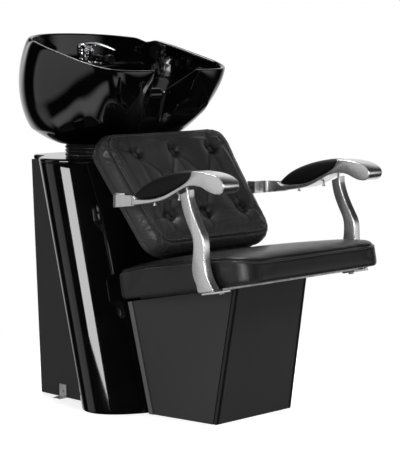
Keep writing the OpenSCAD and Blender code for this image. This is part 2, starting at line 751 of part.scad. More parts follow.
function bowl_ray(angle) = concat(
  [for (s = inner_steps) inner_point(angle, s)],
  [[edge_radius(angle) - rim_t + 3, edge_z(angle) - 0.5],
   [edge_radius(angle) - 3, edge_z(angle)]],
  [for (t = outer_steps) outer_point(angle, t)],
  [sole_point(angle, 0.35), sole_point(angle, 0.7), [foot_radius(angle, foot_half), foot_z]],
  underside(angle));
half_angles = concat([0, 5, 9, 12.5],
  [for (i = [0:4]) flat_angle + (horn_angle - flat_angle) * i / 4],
  [21.5, 25, 29, 33], [for (a = [38:6:176]) a]);
ray_angles = concat(half_angles, [180],
  [for (i = [len(half_angles) - 1:-1:1]) 360 - half_angles[i]]);

module bowl_solid() {
  n = len(ray_angles);
  rays = [for (a = ray_angles) bowl_ray(min(a, 360 - a))];
  m = len(rays[0]);
  points = concat(
    [for (i = [0:n - 1]) for (q = rays[i])
      [q[0] * sin(ray_angles[i]), bowl_y - q[0] * cos(ray_angles[i]), q[1]]],
    [[0, bowl_y, bowl_floor_z], [0, bowl_y, 738]]);
  // skin between neighbouring rays, then the fans at the inner floor and the underside
  polyhedron(points = points, faces = concat(
    [for (i = [0:n - 1]) let (k = (i + 1) % n) for (j = [0:m - 2])
      each [[i * m + j, i * m + j + 1, k * m + j + 1], [i * m + j, k * m + j + 1, k * m + j]]],
    [for (i = [0:n - 1]) let (k = (i + 1) % n) [n * m, i * m, k * m]],
    [for (i = [0:n - 1]) let (k = (i + 1) % n) [n * m + 1, k * m + m - 1, i * m + m - 1]]));
}
module bowl() {
  color([0.015, 0.015, 0.017]) difference() {
    bowl_solid();
    drain_cyl(700, 118, 37.5);
    drain_cyl(700, drain_r, 80);
    // seat of the drain flange
    drain_cyl(753.4, 34.5, 30);
    // tap hole and hose hole through the deck
    zcyl(0, mixer_y, 880, 17.5, 80);
    zcyl(shower_x, 476, 880, 9, 80);
  }
}
module neck_rest() {
  color([0.01, 0.01, 0.01]) difference() {
    xcyl(-32, 32, 139, 845, 18);
    // room for the lip of the notch
    box(-50, 50, 127.5, 148, 800, 851);
    box(-50, 50, 147, 170, 800, 838);
  }
}

// ---------- drain ----------
waste_x = 60;
waste_y = 230;
module drain_flange() {
  color(drain_chrome) difference() {
    union() {
      drain_cyl(754.2, 33, 2.6);
      drain_cyl(716, drain_r - 0.6, 39);
    }
    drain_cyl(700, 19, 80);
  }
}
module strainer() {
  color(drain_chrome) difference() {
    union() {
      drain_cyl(757.2, 23, 2);
      drain_cyl(742, 18.2, 15.5);
      drain_cyl(759, 4, 8);
    }
    drain_cyl(741, 16.5, 14);
    for (i = [0:7]) zcyl(11 * cos(45 * i), pivot_y + 11 * sin(45 * i), 740, 2.6, 30);
  }
}
module drain_tailpiece() {
  color(bright_steel) difference() {
    union() {
      drain_cyl(700, 26, 24);
      drain_cyl(640, 18, 61);
    }
    drain_cyl(715.8, drain_r - 0.55, 10);
    drain_cyl(630, 15.5, 90);
  }
}
module drain_hose() {
  color([0.75, 0.75, 0.75]) hose(
    [[0, pivot_y, 638], [0, pivot_y, 420], [waste_x, waste_y, 420], [waste_x, waste_y, 181]],
    r = 19, steps = 40, sides = 16, rib = 3);
}
module waste_pipe() {
  color([0.6, 0.6, 0.6]) difference() {
    union() {
      zcyl(waste_x, waste_y, 0, 20, 150);
      zcyl(waste_x, waste_y, 110, 24, 70);
    }
    zcyl(waste_x, waste_y, -1, 17, 190);
  }
}

// ---------- taps ----------
mixer_y = 431;
lever_y = 411;   // axis of the lever
lever_z = 974;
trunnion_r = 2.5;
hose_r = 5.5;
inlet = [50, 345]; // lower end of a supply hose
module mixer_cyl(z, r, h) { zcyl(0, mixer_y, z, r, h); }

module mixer_body() {
  foot = deck_z + 0.5;
  color(tap_chrome) {
    mixer_cyl(deck_z + 0.3, 26, 5);
    mixer_cyl(deck_z + 5, 18, 29.5);
    mixer_cyl(880, 15, 47);
    // sloping outlet arm in front of the body
    zcyl(0, 407, foot, 11, 4);
    intersection() {
      translate([0, 406, foot]) rotate([20, 0, 0]) zcyl(0, 0, -6, 7.5, 48);
      box(-20, 20, 360, mixer_y, foot, deck_z + 70);
    }
    box(-9, 9, 404, mixer_y, foot, deck_z + 5);
    translate([0, mixer_y, deck_z + 24]) rotate([82, 0, 0]) cylinder(r = 6, h = 36);
  }
}
// domed cap with a slot and two ears for the lever
module mixer_cap() {
  ear_x = 11.5;
  color(tap_chrome) translate([0, mixer_y, 0]) {
    difference() {
      union() {
        zcyl(0, 0, 960, 18, 10);
        intersection() {
          translate([0, 0, 966]) sphere(r = 18.4);
          zcyl(0, 0, 969, 18, 20);
        }
      }
      box(-ear_x, ear_x, -40, -5, 966, 1000);
    }
    difference() {
      both() box(ear_x, 15, -26, -10, 966, 980);
      xcyl(-20, 20, lever_y - mixer_y, lever_z, trunnion_r + clearance);
    }
  }
}
// side outline of the lever about its axis, [y, z]
lever_side = concat(
  bezier([[-7, -4], [10, 4], [10, 13], [-4, 14]], 5),
  bezier([[-4, 14], [-40, 16], [-80, 5], [-119, -9]], 8),
  bezier([[-119, -9], [-80, -4], [-40, 4], [-7, -4]], 6));
module lever() {
  color(tap_chrome) {
    intersection() {
      translate([-12, lever_y, lever_z]) rotate([90, 0, 90]) linear_extrude(24)
        polygon(lever_side);
      translate([0, lever_y, lever_z - 40]) linear_extrude(80)
        polygon(concat([[11, 12], [-11, 12], [-11, -10]],
          arc(0, -114, 5.5, 180, 180), [[11, -10]]));
    }
    // trunnions that turn in the ears of the cap
    xcyl(-14.8, 14.8, lever_y, lever_z, trunnion_r);
  }
}
module mixer_nut() {
  color(brass) difference() {
    mixer_cyl(894.5, 24, 10, $fn = 6);
    mixer_cyl(880, 15.1, 47);
  }
}
// mixer to the top plate, then down to the inlets
module supply_hoses() {
  color([0.7, 0.7, 0.7]) for (side = [-1, 1]) {
    hose([[side * 7, mixer_y, 878], [side * 8, mixer_y, 800], [side * 55, 372, 760],
      [side * hose_pass[0], hose_pass[1], 640]], hose_r, steps = 16, sides = 10);
    hose([[side * hose_pass[0], hose_pass[1], 640.5], [side * 60, 359, 540],
      [side * inlet[0], inlet[1], 300], [side * inlet[0], inlet[1], 120.3]],
      hose_r, steps = 16, sides = 10);
  }
}
module hose_nuts() {
  color(brass) for (side = [-1, 1]) difference() {
    zcyl(side * inlet[0], inlet[1], 96, 12, 24, $fn = 6);
    zcyl(side * inlet[0], inlet[1], 95, 7.6, 15);
  }
}

// hand shower park: a saddle that holds the handset level over the deck edge
shower_x = 48;
// local z points forwards along the handset
module shower_at() { translate([shower_x, 430, 941]) rotate([94, 0, 0]) children(); }
module shower_holder() {
  color(tap_chrome) difference() {
    union() {
      zcyl(shower_x, 423, deck_z + 0.3, 17, 3);
      zcyl(shower_x, 423, deck_z + 1, 9, 6);
      shower_at() zcyl(0, 0, -8, 12, 30);
    }
    shower_at() zcyl(0, 0, -40, 9.6, 90);
  }
}
module hand_shower() {
  grip_r = 9.4;
  head_r = 15;
  color(tap_chrome) shower_at() {
    zcyl(0, 0, -30, grip_r, 64);
    zcyl(0, 0, -38, 6.5, 9);
    translate([0, 0, 34 - eps]) cylinder(r1 = grip_r, r2 = head_r, h = 22);
    zcyl(0, 0, 56 - 2 * eps, head_r, 12);
  }
}
// over the deck and down its hole, then forwards to the mixer
module shower_hose() {
  color([0.75, 0.75, 0.77]) {
    hose([[shower_x, 469.3, 943.7], [shower_x, 482, 944.4], [shower_x, 478, 925],
      [shower_x, 475, 890]], hose_r, steps = 8, sides = 10);
    hose([[shower_x, 475, 890.5], [shower_x, 475, 860], [30, 470, 850], [21, 452, 868]],
      hose_r, steps = 8, sides = 10);
  }
}

column_shell();
column_top();
column_side_left();
column_side_right();
column_frame();
rear_door();
door_pins();
door_knob();
base_front_panel();
base_side_left();
base_side_right();
base_corner_trims();
base_rear_trims();
base_top_board();
seat_frame();
seat_board();
seat_cushion();
backrest_board();
backrest_cushion();
backrest_buttons();
backrest_bracket();
armrest_left();
armrest_right();
armrest_pad_left();
armrest_pad_right();
armrest_post_left();
armrest_post_right();
strap_left();
strap_right();
cross_bar();
post_bolts();
pad_screws();
strap_bolts();
floor_bracket_left();
floor_bracket_right();
floor_bracket_screws();
lower_pivot_bracket();
pivot_pins();
pivot_washers();
upper_pivot_bracket();
bellows();
bowl();
neck_rest();
drain_flange();
strainer();
drain_tailpiece();
drain_hose();
waste_pipe();
mixer_body();
mixer_cap();
lever();
mixer_nut();
supply_hoses();
hose_nuts();
shower_holder();
hand_shower();
shower_hose();
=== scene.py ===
# Salon shampoo backwash unit: a cushioned seat with armrests ahead of a column with a basin.
# The floor is z = 0, the sitter faces -y, the sitter's left is +x and the column stands at +y.
# Shapes are worked out in millimetres and stored in metres; stage and lights are in metres.
import json
import math

import bmesh
import bpy
import numpy as np
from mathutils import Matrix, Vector, noise
from mathutils.bvhtree import BVHTree

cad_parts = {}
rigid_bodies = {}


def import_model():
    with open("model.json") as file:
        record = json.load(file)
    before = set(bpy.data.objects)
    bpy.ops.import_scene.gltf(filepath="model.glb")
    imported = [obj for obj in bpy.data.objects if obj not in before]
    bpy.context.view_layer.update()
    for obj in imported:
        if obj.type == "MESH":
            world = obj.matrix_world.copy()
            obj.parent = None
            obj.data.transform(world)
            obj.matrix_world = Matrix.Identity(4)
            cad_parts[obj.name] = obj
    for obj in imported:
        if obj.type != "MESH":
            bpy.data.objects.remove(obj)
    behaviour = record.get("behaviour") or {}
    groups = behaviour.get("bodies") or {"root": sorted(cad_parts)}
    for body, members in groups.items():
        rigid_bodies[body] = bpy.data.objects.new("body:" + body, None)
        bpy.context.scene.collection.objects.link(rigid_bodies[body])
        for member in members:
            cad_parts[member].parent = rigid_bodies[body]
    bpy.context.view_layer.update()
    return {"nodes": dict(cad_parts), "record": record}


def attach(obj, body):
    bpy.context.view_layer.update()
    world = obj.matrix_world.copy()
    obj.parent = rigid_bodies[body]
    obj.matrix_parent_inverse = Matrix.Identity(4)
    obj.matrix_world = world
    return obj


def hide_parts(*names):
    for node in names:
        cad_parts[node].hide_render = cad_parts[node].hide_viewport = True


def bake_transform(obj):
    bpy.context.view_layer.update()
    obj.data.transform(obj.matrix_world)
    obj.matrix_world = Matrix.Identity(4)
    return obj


# the start-up scene may or may not hold these
for name in ("Cube", "Light", "Camera"):
    if name in bpy.data.objects:
        bpy.data.objects.remove(bpy.data.objects[name])
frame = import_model()
scene = bpy.context.scene
rad = math.radians
TO_M, TO_MM = 0.001, 1000
TAU = 2 * math.pi
UP = (0, 0, 1)


# ------------------------------------------------------------ numbers and outlines
def ease(start, end, x):
    """smooth step from 0 at start to 1 at end"""
    t = np.clip((np.asarray(x, float) - start) / (end - start), 0, 1)
    return t * t * (3 - 2 * t)


def mix(a, b, t):
    return a + (b - a) * t


def bell(distance, width, power=2):
    return np.exp(-(distance / width) ** power)


def bezier(points, count):
    """count points of a cubic, without its end point"""
    p = np.array(points, float)
    t = np.linspace(0, 1, count, endpoint=False)[:, None]
    s = 1 - t
    return s ** 3 * p[0] + 3 * s * s * t * p[1] + 3 * s * t * t * p[2] + t ** 3 * p[3]


def chain(start, *legs, end=False):
    """joined cubics; a leg is (count, control, control, end point)"""
    parts = []
    for count, first, second, stop in legs:
        parts.append(bezier([start, first, second, stop], count))
        start = stop
    return np.vstack(parts + [[start]] if end else parts)


def trapezoid(x0, y0, x1, y1, r0, r1, n):
    """rounded outline, half width x0 at y0 and x1 at y1, n steps to a corner"""
    corners = ((270, x0 - r0, y0 + r0, r0), (0, x1 - r1, y1 - r1, r1),
               (90, -x1 + r1, y1 - r1, r1), (180, -x0 + r0, y0 + r0, r0))
    out = []
    for start, cx, cy, r in corners:
        for i in range(n + 1):
            a = rad(start + 90 * i / n)
            out.append((cx + r * math.cos(a), cy + r * math.sin(a)))
    return np.array(out)


def run_length(path):
    return np.r_[0, np.cumsum(np.linalg.norm(np.diff(path, axis=0), axis=1))]


def along(path, lengths, t):
    """points of the path at running lengths t"""
    return np.stack([np.interp(t, lengths, path[:, k]) for k in range(path.shape[1])], -1)


def closed(outline):
    return np.vstack([outline, outline[:1]])


def resample(outline, n):
    loop = closed(np.array(outline, float))
    lengths = run_length(loop)
    return along(loop, lengths, np.linspace(0, lengths[-1], n, endpoint=False))


def inset(outline, distance):
    """outline moved inwards along its vertex normals, whichever way round it runs"""
    P = np.asarray(outline, float)
    before, after = np.roll(P, 1, 0), np.roll(P, -1, 0)
    area = 0.5 * np.sum(P[:, 0] * after[:, 1] - after[:, 0] * P[:, 1])
    s = 1 if area > 0 else -1
    e1, e2 = P - before, after - P
    e1 /= np.linalg.norm(e1, axis=1)[:, None] + 1e-9
    e2 /= np.linalg.norm(e2, axis=1)[:, None] + 1e-9
    n1 = s * np.stack([-e1[:, 1], e1[:, 0]], 1)
    n2 = s * np.stack([-e2[:, 1], e2[:, 0]], 1)
    n = n1 + n2
    n /= np.linalg.norm(n, axis=1)[:, None] + 1e-9
    k = np.clip(1 / np.maximum((n * n1).sum(1), 0.5), 1, 1.6)
    return P + n * (distance * k)[:, None]


def stack(outline, levels):
    """horizontal loops of the outline at (z, inset) levels"""
    return [np.c_[inset(outline, d), np.full(len(outline), z)] for z, d in levels]


def smooth_table(table):
    """monotone cubic through a table of (x, y)"""
    X = np.array([q[0] for q in table], float)
    Y = np.array([q[1] for q in table], float)
    d = np.diff(Y) / np.diff(X)
    inner = [0 if a * b <= 0 else 2 * a * b / (a + b) for a, b in zip(d, d[1:])]
    slope = np.r_[d[0], inner, d[-1]]

    def value(x):
        x = np.clip(x, X[0], X[-1])
        i = np.clip(np.searchsorted(X, x) - 1, 0, len(d) - 1)
        h = X[i + 1] - X[i]
        t = (x - X[i]) / h
        return ((2 * t ** 3 - 3 * t ** 2 + 1) * Y[i] + (t ** 3 - 2 * t ** 2 + t) * h * slope[i]
                + (-2 * t ** 3 + 3 * t ** 2) * Y[i + 1] + (t ** 3 - t ** 2) * h * slope[i + 1])
    return value


# ------------------------------------------------------------ tilted frames of seat and back
SEAT_Y, SEAT_Z, SEAT_TILT = -27, 319, rad(10.8)
BACK_Y, BACK_Z, BACK_TILT = 17.7, 582.9, rad(38)
SEAT_COS, SEAT_SIN = math.cos(SEAT_TILT), math.sin(SEAT_TILT)
BACK_COS, BACK_SIN = math.cos(BACK_TILT), math.sin(BACK_TILT)


def seat_world(P):
    """x across, y towards the rear, z out of the top of the seat"""
    P = np.asarray(P, float)
    y, z = P[..., 1], P[..., 2]
    return np.stack([P[..., 0], SEAT_Y + y * SEAT_COS + z * SEAT_SIN,
                     SEAT_Z - y * SEAT_SIN + z * SEAT_COS], -1)


def seat_local(W):
    y, z = W[..., 1] - SEAT_Y, W[..., 2] - SEAT_Z
    return np.stack([W[..., 0], y * SEAT_COS - z * SEAT_SIN, y * SEAT_SIN + z * SEAT_COS], -1)


def back_world(P):
    """x across, y out of the front face, z up the back"""
    P = np.asarray(P, float)
    y, z = -P[..., 1], P[..., 2]
    return np.stack([P[..., 0], BACK_Y + y * BACK_COS + z * BACK_SIN,
                     BACK_Z - y * BACK_SIN + z * BACK_COS], -1)


def back_local(W):
    y, z = W[..., 1] - BACK_Y, W[..., 2] - BACK_Z
    return np.stack([W[..., 0], -(y * BACK_COS - z * BACK_SIN), y * BACK_SIN + z * BACK_COS], -1)


# ------------------------------------------------------------ meshes
def shade(o, angle):
    me = o.data
    me.polygons.foreach_set("use_smooth", [True] * len(me.polygons))
    me.set_sharp_from_angle(angle=rad(angle))


def add_object(name, me):
    o = bpy.data.objects.new(name, me)
    scene.collection.objects.link(o)
    return o


def mesh_obj(name, V, F, smooth):
    me = bpy.data.meshes.new(name)
    faces = [tuple(int(i) for i in f) for f in F]
    me.from_pydata([tuple(v) for v in np.asarray(V, float) * TO_M], [], faces)
    bm = bmesh.new()
    bm.from_mesh(me)
    bmesh.ops.recalc_face_normals(bm, faces=bm.faces)
    bm.to_mesh(me)
    bm.free()
    me.update()
    o = add_object(name, me)
    shade(o, smooth)
    return o


def skin(loops, ring=False, cap_start=True, cap_end=True):
    """vertices and faces through equal loops; ring joins the last loop to the first"""
    n, m = len(loops), len(loops[0])
    F = []
    for i in range(n if ring else n - 1):
        a, b = i * m, ((i + 1) % n) * m
        for j in range(m):
            k = (j + 1) % m
            F.append((a + j, a + k, b + k, b + j))
    if cap_start and not ring:
        F.append(tuple(range(m))[::-1])
    if cap_end and not ring:
        F.append(tuple((n - 1) * m + j for j in range(m)))
    return np.vstack(loops), F


def fan_cap(V, F, loop, centre):
    """closes a loop of vertex numbers with a fan about a centre point"""
    m, c = len(loop), len(V)
    return np.vstack([V, [centre]]), F + [(loop[j], loop[(j + 1) % m], c) for j in range(m)]


def extrude_x(name, outline, x0, x1, r, steps, smooth=50):
    """(y, z) outline extruded along x, with its edges rounded to r"""
    turns = [rad(90 * i / steps) for i in range(steps + 1)]
    edge = [(r - r * math.cos(a), r - r * math.sin(a)) for a in turns]
    stations = [(x0 + dx, d) for dx, d in edge] + [(x1 - dx, d) for dx, d in edge[::-1]]
    loops = [np.c_[np.full(len(outline), x), inset(outline, d)] for x, d in stations]
    return mesh_obj(name, *skin(loops), smooth)


def read_points(me, key):
    flat = np.zeros(len(me.vertices) * 3)
    me.vertices.foreach_get(key, flat)
    return flat.reshape(-1, 3)


def coords(o):
    return read_points(o.data, "co") * TO_MM


def set_coords(o, V):
    o.data.vertices.foreach_set("co", (np.asarray(V) * TO_M).astype(np.float32).ravel())
    o.data.update()


def normals(o):
    return read_points(o.data, "normal")


def mirror_x(o, name):
    me = o.data.copy()
    me.name = name
    co = read_points(me, "co")
    co[:, 0] *= -1
    me.vertices.foreach_set("co", co.ravel())
    me.flip_normals()
    me.update()
    return add_object(name, me)


def tube(name, path, r, sides, step, rib=0.0, pitch=0.0):
    """round hose along a path; rib is the height of its ribs, pitch their spacing"""
    lengths = run_length(path)
    n = max(int(lengths[-1] / step), 4)
    t = np.linspace(0, lengths[-1], n)
    c = along(path, lengths, t)
    for _ in range(4):
        c[1:-1] = (c[:-2] + 2 * c[1:-1] + c[2:]) / 4
    d = np.gradient(c, axis=0)
    d /= np.linalg.norm(d, axis=1)[:, None]
    u = np.cross(d[0], [0.31, 0.95, 0.05])       # any direction off the path will do
    u /= np.linalg.norm(u)
    a = np.linspace(0, TAU, sides, endpoint=False)[:, None]
    loops = []
    for i in range(n):
        u = u - d[i] * (u @ d[i])
        u /= np.linalg.norm(u)
        v = np.cross(d[i], u)
        q = r + (rib * (0.5 + 0.5 * math.cos(TAU * t[i] / pitch)) if pitch else 0)
        loops.append(c[i] + q * np.cos(a) * u + q * np.sin(a) * v)
    return mesh_obj(name, *skin(loops), 60)


def revolve(name, profile, origin, axis, sides, smooth=35):
    """profile of (r, height) about an axis; r 0 at an end closes it with a fan"""
    z = Vector(axis).normalized()
    x = z.orthogonal().normalized()
    basis = np.array([x, z.cross(x), z])
    o = np.array(origin, float)
    profile = list(profile)
    start = profile[0] if profile[0][0] == 0 else None
    end = profile[-1] if profile[-1][0] == 0 else None
    body = profile[1 if start else 0:len(profile) - 1 if end else len(profile)]
    a = np.linspace(0, TAU, sides, endpoint=False)
    loops = [o + np.c_[r * np.cos(a), r * np.sin(a), np.full(sides, h)] @ basis
             for r, h in body]
    V, F = skin(loops, cap_start=not start, cap_end=not end)
    if start:
        V, F = fan_cap(V, F, list(range(sides))[::-1], o + start[1] * np.array(z))
    if end:
        k = (len(body) - 1) * sides
        V, F = fan_cap(V, F, [k + j for j in range(sides)], o + end[1] * np.array(z))
    return mesh_obj(name, V, F, smooth)


def bend(p0, corner, p1, n):
    """quadratic curve from p0 to p1, pulled to the corner"""
    return [(1 - t) ** 2 * p0 + 2 * t * (1 - t) * corner + t * t * p1
            for t in (k / n for k in range(n + 1))]


def fillet(profile, r, n=3):
    """rounds the inner corners of an open (r, height) profile"""
    P = [np.array(q, float) for q in profile]
    out = [P[0]]
    for a, b, c in zip(P, P[1:], P[2:]):
        la, lc = np.linalg.norm(a - b), np.linalg.norm(c - b)
        d = min(r, la * 0.45, lc * 0.45)
        out += bend(b + (a - b) / la * d, b, b + (c - b) / lc * d, n)
    out.append(P[-1])
    return [tuple(q) for q in out]


def merge(name, objects, smooth=40):
    bm = bmesh.new()
    for o in objects:
        bm.from_mesh(o.data)
    me = bpy.data.meshes.new(name)
    bm.to_mesh(me)
    bm.free()
    for o in objects:
        bpy.data.objects.remove(o)
    merged = add_object(name, me)
    shade(merged, smooth)
    return merged


def bake(o):
    """applies the modifiers"""
    graph = bpy.context.evaluated_depsgraph_get()
    me = bpy.data.meshes.new_from_object(o.evaluated_get(graph))
    o.modifiers.clear()
    old = o.data
    o.data = me
    bpy.data.meshes.remove(old)


def surface_tree(o):
    bm = bmesh.new()
    bm.from_mesh(o.data)
    tree = BVHTree.FromBMesh(bm)
    bm.free()
    return tree


# ------------------------------------------------------------ cushions
def relax(o):
    """moves every point halfway to the mean of its neighbours"""
    rest = coords(o)
    ends = np.array([e.vertices[:] for e in o.data.edges])
    total = np.zeros_like(rest)
    count = np.zeros(len(rest))
    for a, b in ((0, 1), (1, 0)):
        np.add.at(total, ends[:, a], rest[ends[:, b]])
        np.add.at(count, ends[:, a], 1)
    rest = 0.5 * rest + 0.5 * total / count[:, None]
    set_coords(o, rest)
    return rest


def inflate(o, held, pressure, frames, stiff):
    """cloth under pressure; returns where its points end up"""
    group = o.vertex_groups.new(name="held")
    steps = np.round(held, 1)
    for w in np.unique(steps):
        if w > 0:
            group.add([int(i) for i in np.nonzero(steps == w)[0]], float(w), "REPLACE")
    cloth = o.modifiers.new("cloth", "CLOTH")
    s = cloth.settings
    s.quality = 5
    s.mass = 0.3
    s.tension_stiffness = s.compression_stiffness = stiff
    s.shear_stiffness = 8
    s.bending_stiffness = 0.6
    s.air_damping = 3
    s.use_pressure = True
    s.uniform_pressure_force = pressure
    s.effector_weights.gravity = 0
    s.vertex_group_mass = "held"
    s.pin_stiffness = 1
    cloth.collision_settings.use_collision = False
    cloth.point_cache.frame_start = 1
    cloth.point_cache.frame_end = frames
    for f in range(1, frames + 1):
        scene.frame_set(f)
    graph = bpy.context.evaluated_depsgraph_get()
    moved = read_points(o.evaluated_get(graph).data, "co") * TO_MM
    o.modifiers.clear()
    scene.frame_set(1)
    return moved


def puff(o, voxel, pin, reach, pressure, frames, stiff=18.0):
    """remeshes and inflates; pin(V, N) is how firmly points are held, reach the furthest move"""
    remesh = o.modifiers.new("vox", "REMESH")
    remesh.mode = "VOXEL"
    remesh.voxel_size = voxel * TO_M
    bake(o)
    rest = relax(o)
    held = np.clip(pin(rest, normals(o)), 0, 1)
    moved = inflate(o, held, pressure, frames, stiff)
    d = moved - rest
    L = np.linalg.norm(d, axis=1)
    k = min(1.0, reach / max(float(np.percentile(L, 99)), 1e-6))
    k = k * np.minimum(1, reach / np.maximum(L * k, 1e-6))
    set_coords(o, rest + d * k[:, None])
    o.vertex_groups.clear()
    sub = o.modifiers.new("sub", "SUBSURF")
    sub.levels = sub.render_levels = 1
    bake(o)
    shade(o, 180)
    return o


def fbm(P, scale, octaves, seed):
    """layered noise, its largest features about scale across"""
    out = np.zeros(len(P))
    amp, f = 1.0, 1.0 / scale
    for k in range(octaves):
        out += amp * np.array([noise.noise(Vector((x * f + seed, y * f + 7.3 * k, z * f)))
                               for x, y, z in P])
        amp *= 0.5
        f *= 2
    return out


STITCH_GAP = 2.6
STITCH_LIFT = 0.35      # height of the thread's centre line over the cover
# share of the length, share of the radius, lift in radii
STITCH_SHAPE = ((0.0, 0.35, -0.25), (0.2, 0.9, 0.25), (0.5, 1.0, 0.45),
                (0.8, 0.9, 0.25), (1.0, 0.35, -0.25))


def stitch_row(name, cover, path, length, r):
    """thread stitches laid on the cover along a path"""
    tree = surface_tree(cover)
    lengths = run_length(path)
    s, V, F = 0.0, [], []
    while s + length < lengths[-1]:
        hits = [tree.find_nearest(Vector(along(path, lengths, t) * TO_M))
                for t in (s, s + length / 2, s + length)]
        a, b = hits[0][0] * TO_MM, hits[2][0] * TO_MM
        s += length + STITCH_GAP
        d = b - a
        if d.length <= 1:
            continue
        d.normalize()
        side = d.cross(hits[1][1].normalized())
        if side.length <= 0.1:
            continue
        side.normalize()
        n = side.cross(d)
        base = len(V)
        for f, girth, h in STITCH_SHAPE:
            c = a.lerp(b, f) + n * (STITCH_LIFT + h * r)
            for k in range(6):
                an = math.pi / 3 * k
                V.append(c + side * (math.cos(an) * r * girth) + n * (math.sin(an) * r * girth))
        for i in range(base, base + 24, 6):
            for k in range(6):
                q = (k + 1) % 6
                F.append((i + k, i + q, i + 6 + q, i + 6 + k))
        F.append(tuple(base + k for k in range(5, -1, -1)))
        F.append(tuple(base + 24 + k for k in range(6)))
    return mesh_obj(name, np.array([tuple(v) for v in V]), F, 60)


def stitches(name, cover, paths, length, r):
    rows = [stitch_row(f"{name}_row{i}", cover, p, length, r) for i, p in enumerate(paths)]
    return merge(name, rows, 60)


# ------------------------------------------------------------ shader nodes
def new_material(name):
    material = bpy.data.materials.new(name)
    material.use_nodes = True
    return material, material.node_tree, material.node_tree.nodes["Principled BSDF"]


def set_inputs(tree, target, inputs):
    """links the inputs given as sockets and sets the others"""
    for key, value in inputs.items():
        if isinstance(value, bpy.types.NodeSocket):
            tree.links.new(value, target.inputs[key])
        else:
            target.inputs[key].default_value = value


def node(tree, kind, inputs=None, **settings):
    made = tree.nodes.new("ShaderNode" + kind)
    for key, value in settings.items():
        setattr(made, key, value)
    set_inputs(tree, made, inputs or {})
    return made


def calc(tree, operation, *values):
    return node(tree, "Math", dict(enumerate(values)), operation=operation).outputs[0]


def object_coords(tree, scale=(1, 1, 1), turn=(0, 0, 0)):
    place = node(tree, "TexCoord").outputs["Object"]
    inputs = {"Vector": place, "Scale": scale, "Rotation": turn}
    return node(tree, "Mapping", inputs).outputs["Vector"]


def noise_tex(tree, vector, scale, detail=4, rough=0.55):
    inputs = {"Vector": vector, "Scale": scale, "Detail": detail, "Roughness": rough}
    return node(tree, "TexNoise", inputs).outputs["Fac"]


def remap(tree, value, span, to=(0.0, 1.0), **settings):
    inputs = {"Value": value, "From Min": span[0], "From Max": span[1],
              "To Min": to[0], "To Max": to[1]}
    return node(tree, "MapRange", inputs, **settings).outputs["Result"]


def color_mix(tree, factor, first, second):
    # 6 and 7 are the colour inputs of the mix node, 2 its colour output
    inputs = {0: factor, 6: first, 7: (*second, 1)}
    return node(tree, "Mix", inputs, data_type="RGBA").outputs[2]


def bump(tree, height, strength, distance, below=None):
    inputs = {"Height": height, "Strength": strength, "Distance": distance}
    if below is not None:
        inputs["Normal"] = below
    return node(tree, "Bump", inputs).outputs["Normal"]


def scaled(color, gain, lift=0.0):
    return tuple(min(1, x * gain + lift) for x in color)


# ------------------------------------------------------------ kinds of material
def gloss(name, color, rough, coat, peel):
    """polished, with faint dust; peel is the strength of the fine bumps"""
    material, tree, shader = new_material(name)
    place = object_coords(tree)
    dust = noise_tex(tree, place, scale=9, detail=6, rough=0.6)
    fine = noise_tex(tree, place, scale=260, detail=3)
    dusty = remap(tree, dust, span=(0.35, 0.7))
    set_inputs(tree, shader, {
        "Base Color": color_mix(tree, dusty, (*color, 1), scaled(color, gain=1.35, lift=0.001)),
        "Roughness": remap(tree, dust, span=(0.3, 0.75), to=(rough, rough * 1.9 + 0.01)),
        "Specular IOR Level": 0.5,
        "Coat Weight": coat,
        "Coat Roughness": 0.02,
        "Normal": bump(tree, fine, strength=peel, distance=0.0004)})
    return material


def satin(name, color, rough, grain, depth, spec=0.4, vary=1.25):
    """matt, with a grain; vary is how much lighter the cloudy patches are"""
    material, tree, shader = new_material(name)
    place = object_coords(tree)
    clouds = remap(tree, noise_tex(tree, place, scale=3.5, detail=5, rough=0.6), span=(0.3, 0.75))
    fine = noise_tex(tree, place, scale=grain, detail=2)
    set_inputs(tree, shader, {
        "Base Color": color_mix(tree, clouds, (*color, 1), scaled(color, vary)),
        "Roughness": remap(tree, fine, span=(0.3, 0.7), to=(rough * 0.85, rough * 1.15)),
        "Specular IOR Level": spec,
        "Normal": bump(tree, fine, strength=depth, distance=0.0004)})
    return material


def leather(name, color, rough, cell, depth, spec, crease=None):
    """grained cover; crease is the painted shade colour, blended in by the crease attribute to
    darken the folds
    """
    material, tree, shader = new_material(name)
    place = object_coords(tree)
    wobble = noise_tex(tree, place, scale=cell * 0.6, detail=2)
    wobble = node(tree, "CombineXYZ", {k: wobble for k in range(3)}).outputs[0]
    shift = node(tree, "VectorMath", {0: wobble, "Scale": 0.0012}, operation="SCALE").outputs[0]
    moved = node(tree, "VectorMath", {0: place, 1: shift}, operation="ADD").outputs[0]
    cells = node(tree, "TexVoronoi", {"Vector": moved, "Scale": cell, "Randomness": 1.0},
                 feature="DISTANCE_TO_EDGE")
    grain = remap(tree, cells.outputs["Distance"], span=(0.0, 0.18))
    big = noise_tex(tree, place, scale=7, detail=6, rough=0.6)
    wear = remap(tree, big, span=(0.35, 0.75))
    base = color_mix(tree, wear, (*color, 1), scaled(color, gain=1.5, lift=0.001))
    if crease:
        # painted shade: the crease colour darkens the cover where the crease attribute marks folds
        amount = node(tree, "Attribute", attribute_name="crease").outputs["Fac"]
        base = color_mix(tree, amount, base, crease)
    grain_rough = remap(tree, grain, span=(0, 1), to=(rough * 1.25, rough * 0.9))
    patches = remap(tree, big, span=(0.3, 0.7), to=(-0.05, 0.06))
    pores = bump(tree, grain, strength=depth, distance=0.00035)
    waves = noise_tex(tree, place, scale=60, detail=4, rough=0.6)
    set_inputs(tree, shader, {
        "Base Color": base,
        "Roughness": calc(tree, "ADD", grain_rough, patches),
        "Specular IOR Level": spec,
        "Normal": bump(tree, waves, strength=depth * 0.6, distance=0.0012, below=pores)})
    return material


